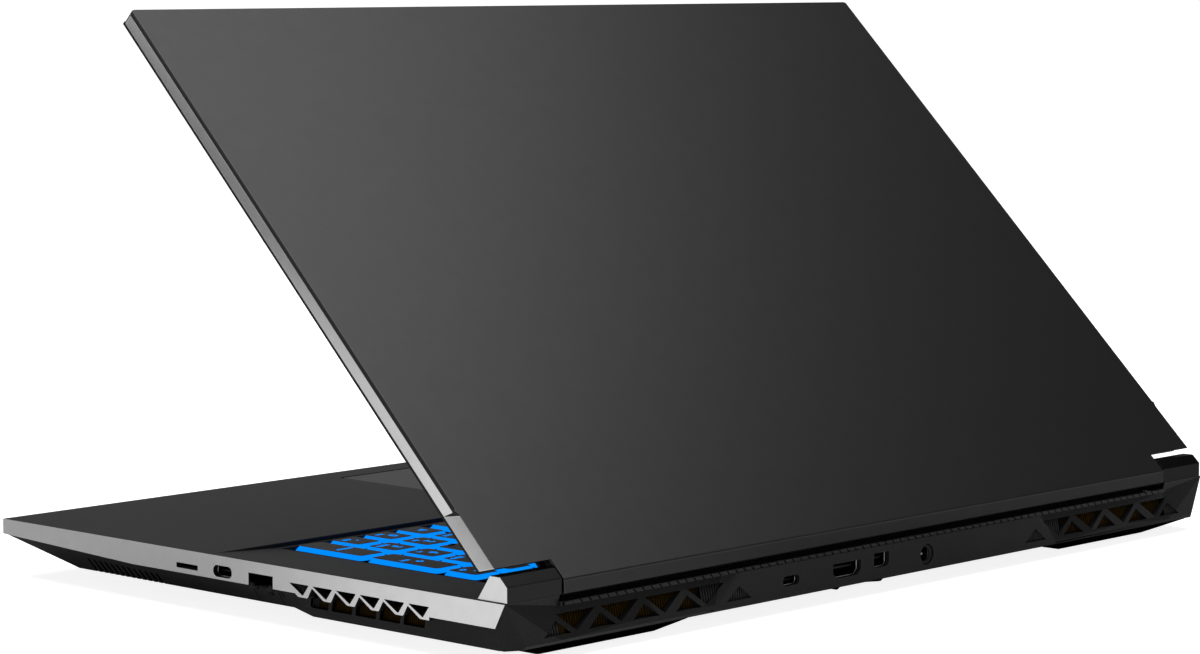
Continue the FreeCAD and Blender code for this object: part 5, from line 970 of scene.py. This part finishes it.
# A key's profile in millimetres: depths of its foot, height and width of the lip round its top, and the steps
# of its dish, each with its distance from the skirt and its share of the depth
FOOT_DEPTHS, KEY_LIP, DISH_STEPS = (2.4, 2.1), (0.1, 0.12), ((1.2, 0.6), (2.6, 1.0))
ROW_GRID = 9.0  # keys whose fronts lie closer than this are in one line, in millimetres
WORD_SCALE, SECOND_SCALE, ARROW_SCALE = 0.62, 0.55, 0.7  # next to a single letter
LEGEND_PLACE, SECOND_PLACE = Vector((-0.8, 1.2, 0)) * MM, Vector((1.5, -3.3, 0)) * MM
HOME_BAR, HOME_BAR_IN = Vector((1.6, 0.25, 0.35)) * MM, 1.6 * MM


class LAPTOP_OT_keys(Operator):
    """Lit keys, one piece for each row, and the plate under them"""
    bl_idname = "laptop.keys"
    bl_label = "Keys"

    def execute(self, context):
        _, size, _ = settings()
        for node, legends in ROWS.items():
            boxes = sorted(solids(node), key=lambda b: (round(b[0].y / (ROW_GRID * MM)), b[0].x))
            if len(boxes) != len(legends):
                raise RuntimeError("%s has %d keys and %d legends" % (node, len(boxes), len(legends)))
            mesh = bmesh.new()
            for (low, high), legend in zip(boxes, legends):
                self.key(mesh, low, high, size, node == "keys_function_row")
                self.legend(mesh, low, high, legend, size)
            piece(node + "_caps", mesh, ["key", "glow"], node, "key_plastic", node)
        # The key plate is painted near-black as painted shadow under the keys
        paint("void", "key_plate")
        return {"FINISHED"}

    def key(self, mesh, low, high, size, rear_row):
        """A key with a lit skirt under a dished top; the rear row's skirt is left unlit at its rear foot as
        painted shade
        """
        top, foot, side = high.z - size.key_drop, size.key_foot, size.key_inset
        lip_height, lip_width = (part * MM for part in KEY_LIP)
        levels = [(foot, high.z - depth * MM) for depth in FOOT_DEPTHS]
        levels += [((foot + side) / 2, top - size.key_glow * 0.7), (side, top - lip_height),
                   (side + lip_width, top)]
        levels += [(side + reach * MM, top - size.key_dish * part) for reach, part in DISH_STEPS]
        loops = stepped(oblong(low, high), size.key_corner, levels)
        skirt = skin(mesh, loops, [0, 1, 1, 0, 0, 0], 0)[1]
        # The rear row's rear-facing foot is unlit, as painted shade
        for face in skirt if rear_row else ():
            face.normal_update()
            face.material_index = 0 if face.normal.y > 0.3 else 1

    def legend(self, mesh, low, high, legend, size):
        """The letters of a key, its second sign and the bar on a home key"""
        height = high.z - size.key_drop + size.legend_rise
        place = Vector(((low.x + high.x) / 2, (low.y + high.y) / 2, height))
        main, _, second = legend.partition(" ")
        if legend in ARROWS:
            arrow(mesh, ARROWS[legend], size.legend * ARROW_SCALE, place, size.legend_depth, 1)
        elif legend:
            tall = size.legend * (1.0 if len(main) == 1 else WORD_SCALE)
            letters(mesh, main, tall, place + LEGEND_PLACE, size.legend_depth, 1)
        if second:
            letters(mesh, second, size.legend * SECOND_SCALE, place + SECOND_PLACE, size.legend_depth, 1)
        if main in HOME_KEYS:
            bar = Vector((place.x, low.y + size.key_inset + HOME_BAR_IN, height))
            block(mesh, bar - Vector((HOME_BAR.x, HOME_BAR.y, 0.1 * MM)), bar + HOME_BAR)


class LAPTOP_OT_touchpad(Operator):
    """Touchpad with a polished rim"""
    bl_idname = "laptop.touchpad"
    bl_label = "Touchpad"

    def execute(self, context):
        _, size, _ = settings()
        low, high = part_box("touchpad")
        mesh = bmesh.new()
        levels = [(0.0, low.z), (0.0, high.z - size.pad_rim), (size.pad_rim, high.z), (0.9 * MM, high.z)]
        skin(mesh, stepped(oblong(low, high), size.pad_corner, levels), [0, 1, 0], 0)
        piece("touchpad_plate", mesh, ["pad", "edge"], "touchpad", "touchpad_glass", "touchpad")
        paint("steel", "touchpad_bracket")
        return {"FINISHED"}


# The power button: dish as distance from the edge and depth, lit bar as half its sides
BUTTON_CORNER, BUTTON_EDGE, BUTTON_DISH = 1.2 * MM, 0.3 * MM, (1.0 * MM, 0.1 * MM)
BUTTON_BAR, BUTTON_BAR_SUNK = (2.5 * MM, 0.25 * MM), 0.07 * MM


class LAPTOP_OT_power_button(Operator):
    """Power button with a lit bar"""
    bl_idname = "laptop.power_button"
    bl_label = "Power button"

    def execute(self, context):
        _, size, _ = settings()
        low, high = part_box("power_button")
        middle = (low + high) / 2
        mesh = bmesh.new()
        levels = [(0.0, low.z), (0.0, high.z - BUTTON_EDGE), (BUTTON_EDGE, high.z),
                  (BUTTON_DISH[0], high.z - BUTTON_DISH[1])]
        skin(mesh, stepped(oblong(low, high), BUTTON_CORNER, levels), [0, 0, 0], 0)
        reach = Vector(BUTTON_BAR)
        bar = filleted(oblong(middle.xy - reach, middle.xy + reach), BUTTON_BAR[1])
        slab(mesh, raised(bar, high.z - BUTTON_BAR_SUNK), (0, 0, -size.legend_depth), 1)
        piece("power_button_cap", mesh, ["key", "glow"], "power_button", "key_plastic", "power_button")
        return {"FINISHED"}


def cut_corners(wide, tall, across, up):
    """An oblong about the middle with its two lower corners cut off"""
    return [Vector(p) for p in ((across - wide, -tall), (wide - across, -tall), (wide, up - tall),
                                (wide, tall), (-wide, tall), (-wide, up - tall))]


def mouth(node, axis):
    """Frame of a socket's mouth, looking out along an axis, with half its width and height"""
    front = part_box(node)[1][axis]
    spots = (vert.co for vert in NODES[node].data.vertices)
    low, high = bounds_of(spot for spot in spots if abs(spot[axis] - front) < 0.01 * MM)
    out = Vector([1 if i == axis else 0 for i in range(3)])
    across = Vector((0, 0, 1)).cross(out)
    place = Matrix((across, (0, 0, 1), out)).transposed().to_4x4()
    place.translation = (low + high) / 2
    return place, (high - low)[1 - axis] / 2, (high.z - low.z) / 2


def shell(mesh, place, outline, corner, depth, wall=0.4 * MM):
    """A socket's metal shell whose deep wall and bottom are near-black as painted shadow"""
    levels = [(0.0, -depth), (0.0, -0.15 * MM), (0.12 * MM, 0.0), (wall - 0.05 * MM, 0.0), (wall, -0.1 * MM),
              (wall, 2 * MM - depth)]
    skin(mesh, stepped(outline, corner, levels, place), [0, 0, 0, 0, 1], 1)


def tongue(mesh, place, low, high, depth, pins):
    """The plastic tongue inside a socket, with a row of contacts"""
    levels = [(0.0, 2 * MM - depth), (0.0, -0.9 * MM), (0.12 * MM, -0.7 * MM)]
    skin(mesh, stepped(oblong(low, high), 0.15 * MM, levels, place), [2, 2], 2)
    pitch = (high[0] - low[0]) / pins
    for pin in range(pins):
        left = low[0] + pitch * (pin + 0.25)
        bar = oblong((left, low[1] - 0.05 * MM), (left + pitch * 0.5, low[1]))
        slab(mesh, raised(bar, -1.2 * MM, place), place.to_3x3() @ Vector((0, 0, -4 * MM)), 3)


# Node, axis it faces, corner, cut of the lower corners, tongue's corners and contacts, in millimetres
SOCKETS = (
    ("side_oval_port", 0, 2.2, None, (-3.3, -0.35, 3.3, 0.35), 12),
    ("rear_oval_port", 1, 1.9, None, (-3.3, -0.35, 3.3, 0.35), 12),
    ("wide_video_port", 1, 0.4, 1.9, (-5.6, 0.3, 5.6, 1.2), 10),
    ("small_video_port", 1, 0.4, 1.2, (-2.5, 0.1, 2.5, 0.9), 10),
    ("card_slot", 0, 0.7, None, (-4.5, 0.1, 4.5, 0.4), 8),
)


class LAPTOP_OT_sockets(Operator):
    """Sockets with a metal shell and a tongue"""
    bl_idname = "laptop.sockets"
    bl_label = "Sockets"

    def execute(self, context):
        _, size, _ = settings()
        for node, axis, corner, cut, bar, pins in SOCKETS:
            mesh = bmesh.new()
            place, wide, tall = mouth(node, axis)
            outline = oblong((-wide, -tall), (wide, tall))
            if cut:
                outline = cut_corners(wide, tall, cut * MM, cut * MM)
            shell(mesh, place, outline, corner * MM, size.socket_depth)
            left, foot, right, top = (part * MM for part in bar)
            tongue(mesh, place, (left, foot), (right, top), size.socket_depth, pins)
            rim = "socket" if node == "card_slot" else "steel"
            piece(node + "_socket", mesh, [rim, "void", "socket", "gold"], "base", "socket_steel", node)
        return {"FINISHED"}


class LAPTOP_OT_power_inlet(Operator):
    """Power inlet with its pin"""
    bl_idname = "laptop.power_inlet"
    bl_label = "Power inlet"

    def execute(self, context):
        low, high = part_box("power_inlet")
        middle = (low + high) / 2
        place = Matrix(((-1, 0, 0), (0, 0, 1), (0, 1, 0))).transposed().to_4x4()
        place.translation = (middle.x, high.y, middle.z)
        depth = (high.y - low.y) / MM
        mesh = bmesh.new()
        tube = [(3.55, -depth), (3.55, -0.2), (3.4, 0.0), (3.25, 0.0), (2.7, -1.0), (2.6, -1.2), (2.6, -1.6),
                (2.5, -8.0)]
        pin = [(0.6, -8.0), (0.6, -2.2), (0.3, -1.9)]
        # The tube's bottom takes the near-black finish as painted shadow
        for rings, parts, cap in ((tube, [0, 0, 0, 3, 0, 1, 2], 2), (pin, [1, 1], 1)):
            loops = [raised(circle(radius * MM), height * MM, place) for radius, height in rings]
            skin(mesh, loops, parts, cap)
        finishes = ["socket", "steel", "void", "rib"]
        piece("power_inlet_socket", mesh, finishes, "base", "socket_plastic", "power_inlet")
        return {"FINISHED"}


class LAPTOP_OT_ports(Operator):
    """Network socket, left ports and audio jacks"""
    bl_idname = "laptop.ports"
    bl_label = "Other ports"

    def execute(self, context):
        # The network socket is painted near-black as painted shadow in its opening
        paint("void", "network_socket")
        paint("socket", "audio_jacks")
        paint("steel", "left_ports")
        return {"FINISHED"}


# Rear edges of the rear fins in millimetres: first edge, count and pitch, then outlines in depth and height
FIN_EDGE_X, FIN_EDGES, FIN_EDGE_PITCH = 104.5, 56, 1.2
FIN_TIP = ((129.0, 6.9), (131.25, 6.9), (129.6, 15.0), (129.0, 15.0))
FIN_RIM = ((131.1, 6.9), (131.27, 6.9), (129.62, 15.0), (129.45, 15.0))
FIN_TIP_WIDE, FIN_RIM_WIDE = 0.3, 0.34
SIDE_FINS_TOP = 13.2
FIN_PITCH = 1.0


class LAPTOP_OT_fins(Operator):
    """Fin stacks behind the vents"""
    bl_idname = "laptop.fins"
    bl_label = "Fins"

    def execute(self, context):
        for node, along, front in (("rear_fins", 0, 1), ("side_fins", 1, 0)):
            mesh = bmesh.new()
            for sign in (1, -1):
                boxes = [box for box in solids(node) if box[0].x * sign > 0]
                self.stack(mesh, *bounds_of(corner for box in boxes for corner in box), along)
            # Faces toward the vent take the fin copper; the fins' sides, floor and roof take its darker copy
            # as painted shade
            for face in mesh.faces:
                face.normal_update()
                face.material_index = 0 if abs(face.normal[front]) > 0.5 else 1
            piece(node + "_stack", mesh, ["fin", "shaded_fin"], "base", "copper", node)
        self.edges()
        return {"FINISHED"}

    def edges(self):
        """Rear edges of the rear fins, cut to the slant of the vent face"""
        mesh = bmesh.new()
        for side in (1, -1):
            for step in range(FIN_EDGES):
                left = side * (FIN_EDGE_X + FIN_EDGE_PITCH * step)
                # The tips take the darker fin copper as painted shade, the rims the fin copper
                for outline, wide, finish in ((FIN_TIP, FIN_TIP_WIDE, 1), (FIN_RIM, FIN_RIM_WIDE, 0)):
                    corners = [Vector((left, y, z)) * MM for y, z in outline]
                    slab(mesh, corners, (-side * wide * MM, 0, 0), finish)
        piece("rear_fin_edges", mesh, ["fin", "shaded_fin"], "base", "copper")

    def stack(self, mesh, low, high, along):
        """Fins side by side along an axis, between a floor and a roof"""
        sheet = settings()[1].fin_sheet
        top = min(high.z, SIDE_FINS_TOP * MM) if along == 1 else high.z
        block(mesh, low, (high.x, high.y, low.z + sheet))
        block(mesh, (low.x, low.y, top - sheet), (high.x, high.y, top))
        count = round((high[along] - low[along]) / (FIN_PITCH * MM))
        for i in range(count + 1):
            near, far = low.copy(), high.copy()
            near[along] = low[along] + (high[along] - low[along] - sheet) * i / count
            far[along] = near[along] + sheet
            far.z = top
            block(mesh, near, far)


class LAPTOP_OT_cooling(Operator):
    """Heat pipes, fans and cold plate"""
    bl_idname = "laptop.cooling"
    bl_label = "Cooling"

    def execute(self, context):
        paint("copper", "heat_pipes", "cold_plate")
        paint("inner", "fan_housing_right", "fan_housing_left", "fan_rotor_right", "fan_rotor_left")
        return {"FINISHED"}


class LAPTOP_OT_inner(Operator):
    """Boards, chips, battery, speakers and hinges"""
    bl_idname = "laptop.inner"
    bl_label = "Inner parts"

    def execute(self, context):
        paint("board", "mainboard", "memory_modules", "storage_drive", "wireless_card")
        paint("chip", "processor", "graphics_chip")
        paint("inner", "battery_pack", "speakers")
        for part in ("bracket", "pin", "arm"):
            paint("inner", "hinge_%s_right" % part, "hinge_%s_left" % part)
        paint("steel", "hinge_screws")
        return {"FINISHED"}


# Lamps in metres: name, place, target, width and height
TOP_LAMP = ("top_softbox", (-0.22, -0.3, 1.2), (-0.22, -0.3, 0.0), (1.55, 1.7))
SIDE_LAMP = ("side_softbox", (0.6, -0.29, 0.035), (0.2, 0.03, 0.03), (0.24, 0.075))

# Levels that change between a start and an end: where they change, then the level before and after
SKY_CHANGE = (-0.04, 0.22)
FLOOR_SEEN = (0.4, 2.5, 0.87, 1.0)
POOL_FADE = (0.5, 1.2, 1.0, 0.0)
RIGHT_POOL = ((0.69, 0.72, 0.0), 0.1, 0.22, 0.7)  # direction, start, end and level after it
LEFT_POOL = ((-0.9, 0.43, 0.0), 0.14, 0.45, 1.0)
FLOOR_REACH, FLOOR_TONES = 40.0, ((0.64, 0.64, 0.64), (0.66, 0.66, 0.66))


class LAPTOP_OT_stage(Operator):
    """White floor and world, lamps and camera"""
    bl_idname = "laptop.stage"
    bl_label = "Stage"

    def execute(self, context):
        _, _, studio = settings()
        context.scene.view_settings.view_transform = "Standard"
        self.world(context, studio)
        self.floor()
        self.lamp(*TOP_LAMP, studio.top_light)
        self.lamp(*SIDE_LAMP, studio.side_light)
        self.camera(context, studio)
        return {"FINISHED"}

    def ray(self, tree, kind):
        return tree.nodes.new("ShaderNodeLightPath").outputs[kind]

    def joined(self, tree, first, second, operation="MAXIMUM"):
        """The larger of two values, or their product"""
        made = tree.nodes.new("ShaderNodeMath")
        made.operation = operation
        tree.links.new(first, made.inputs[0])
        tree.links.new(second, made.inputs[1])
        return made.outputs[0]

    def mirrored(self, tree):
        """1 for rays that come from reflections and through glass"""
        return self.joined(tree, self.ray(tree, "Is Glossy Ray"), self.ray(tree, "Is Transmission Ray"))

    def world(self, context, studio):
        """White all round the horizon and darker overhead"""
        world = bpy.data.worlds.new("white_studio")
        world.use_nodes = True
        tree = world.node_tree
        shown = tree.nodes["Background"]
        place = tree.nodes.new("ShaderNodeTexCoord")
        split = tree.nodes.new("ShaderNodeSeparateXYZ")
        rise = self.ramp(tree, *SKY_CHANGE, 1.0, studio.ceiling)
        tree.links.new(place.outputs["Generated"], split.inputs[0])
        tree.links.new(split.outputs["Z"], rise.inputs["Value"])
        seen = self.joined(tree, self.ray(tree, "Is Camera Ray"), rise.outputs[0])
        tree.links.new(seen, shown.inputs["Color"])
        level = self.ramp(tree, 0.0, 1.0, studio.ambient, 1.0)
        mask = self.joined(tree, self.ray(tree, "Is Camera Ray"), self.mirrored(tree))
        tree.links.new(mask, level.inputs["Value"])
        tree.links.new(level.outputs[0], shown.inputs["Strength"])
        context.scene.world = world

    def ramp(self, tree, start, end, low, high):
        """A node that goes smoothly from low to high between start and end"""
        made = tree.nodes.new("ShaderNodeMapRange")
        made.interpolation_type = "SMOOTHSTEP"
        for key, number in (("From Min", start), ("From Max", end), ("To Min", low), ("To Max", high)):
            made.inputs[key].default_value = number
        return made

    def floor(self):
        """A pale floor that the camera sees as white, with brighter pools for reflections only"""
        mesh = bmesh.new()
        bmesh.ops.create_grid(mesh, x_segments=8, y_segments=8, size=FLOOR_REACH)
        data = bpy.data.meshes.new("studio_floor")
        mesh.to_mesh(data)
        mesh.free()
        made = bpy.data.objects.new("studio_floor", data)
        bpy.context.scene.collection.objects.link(made)
        floor = Shader("white_floor")
        floor.set(Roughness=0.9, Specular_IOR_Level=0.0, Emission_Color=(1, 1, 1, 1))
        floor.feed(floor.mixed(floor.noise(4 * MM), *FLOOR_TONES), "Base Color")
        away = floor.add("ShaderNodeVectorMath", operation="LENGTH")
        floor.link(floor.place, away.inputs[0])
        brighter = self.ramp(floor.tree, *FLOOR_SEEN)
        floor.link(away.outputs["Value"], brighter.inputs["Value"])
        seen = self.joined(floor.tree, self.ray(floor.tree, "Is Camera Ray"), brighter.outputs[0], "MULTIPLY")
        fading = self.ramp(floor.tree, *POOL_FADE)
        floor.link(away.outputs["Value"], fading.inputs["Value"])
        pool = self.joined(floor.tree, self.sweep(floor, *RIGHT_POOL), fading.outputs[0], "MULTIPLY")
        pool = self.joined(floor.tree, pool, self.sweep(floor, *LEFT_POOL))
        shown = self.joined(floor.tree, self.mirrored(floor.tree), pool, "MULTIPLY")
        floor.feed(self.joined(floor.tree, seen, shown), "Emission Strength")
        data.materials.append(floor.material)

    def sweep(self, floor, direction, start, end, high):
        """A level that rises from start to end along a direction on the floor"""
        along = floor.add("ShaderNodeVectorMath", operation="DOT_PRODUCT")
        floor.link(floor.place, along.inputs[0])
        along.inputs[1].default_value = direction
        level = self.ramp(floor.tree, start, end, 0.0, high)
        floor.link(along.outputs["Value"], level.inputs["Value"])
        return level.outputs[0]

    def lamp(self, name, place, target, extent, watts):
        """A soft lamp that faces a target"""
        light = bpy.data.lights.new(name, "AREA")
        light.shape = "RECTANGLE"
        light.size, light.size_y = extent
        light.energy = watts
        made = bpy.data.objects.new(name, light)
        made.location = place
        made.rotation_euler = (Vector(target) - Vector(place)).to_track_quat("-Z", "Y").to_euler()
        bpy.context.scene.collection.objects.link(made)

    def camera(self, context, studio):
        lens = bpy.data.cameras.new("view")
        lens.sensor_fit = "HORIZONTAL"
        lens.sensor_width = 36.0
        lens.lens = studio.lens
        lens.shift_x, lens.shift_y = studio.shift_x, studio.shift_y
        lens.clip_start = 0.01
        made = bpy.data.objects.new("view", lens)
        turn = Matrix.Rotation(studio.turn, 4, "Z") @ Matrix.Rotation(math.pi / 2 - studio.rise, 4, "X")
        made.matrix_world = Matrix.Translation(studio.camera) @ turn @ Matrix.Rotation(studio.roll, 4, "Z")
        context.scene.collection.objects.link(made)
        context.scene.camera = made


STEPS = (LAPTOP_OT_finishes, LAPTOP_OT_lid, LAPTOP_OT_case, LAPTOP_OT_caps, LAPTOP_OT_bottom, LAPTOP_OT_feet,
         LAPTOP_OT_screws, LAPTOP_OT_rear, LAPTOP_OT_side_ribs, LAPTOP_OT_keys, LAPTOP_OT_touchpad,
         LAPTOP_OT_power_button, LAPTOP_OT_sockets, LAPTOP_OT_power_inlet, LAPTOP_OT_ports, LAPTOP_OT_fins,
         LAPTOP_OT_cooling, LAPTOP_OT_inner, LAPTOP_OT_stage)


class LAPTOP_PT_build(Panel):
    """The laptop's pieces and settings"""
    bl_idname = "LAPTOP_PT_build"
    bl_label = "Laptop"
    bl_space_type = "VIEW_3D"
    bl_region_type = "UI"
    bl_category = "Laptop"

    def draw(self, context):
        for step in STEPS:
            self.layout.operator(step.bl_idname)
        for group in settings():
            for name in group.__annotations__:
                self.layout.prop(group, name)


GROUPS = {"laptop_finish": LaptopFinish, "laptop_sizes": LaptopSizes, "laptop_studio": LaptopStudio}


def register():
    for group in GROUPS.values():
        bpy.utils.register_class(group)
    for step in (*STEPS, LAPTOP_PT_build):
        bpy.utils.register_class(step)
    for name, group in GROUPS.items():
        setattr(bpy.types.Scene, name, PointerProperty(type=group))


def unregister():
    for name in GROUPS:
        delattr(bpy.types.Scene, name)
    for made in (LAPTOP_PT_build, *reversed(STEPS), *GROUPS.values()):
        bpy.utils.unregister_class(made)


def main():
    register()
    for step in STEPS:
        area, name = step.bl_idname.split(".")
        getattr(getattr(bpy.ops, area), name)()
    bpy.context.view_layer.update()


if __name__ == "__main__":
    main()
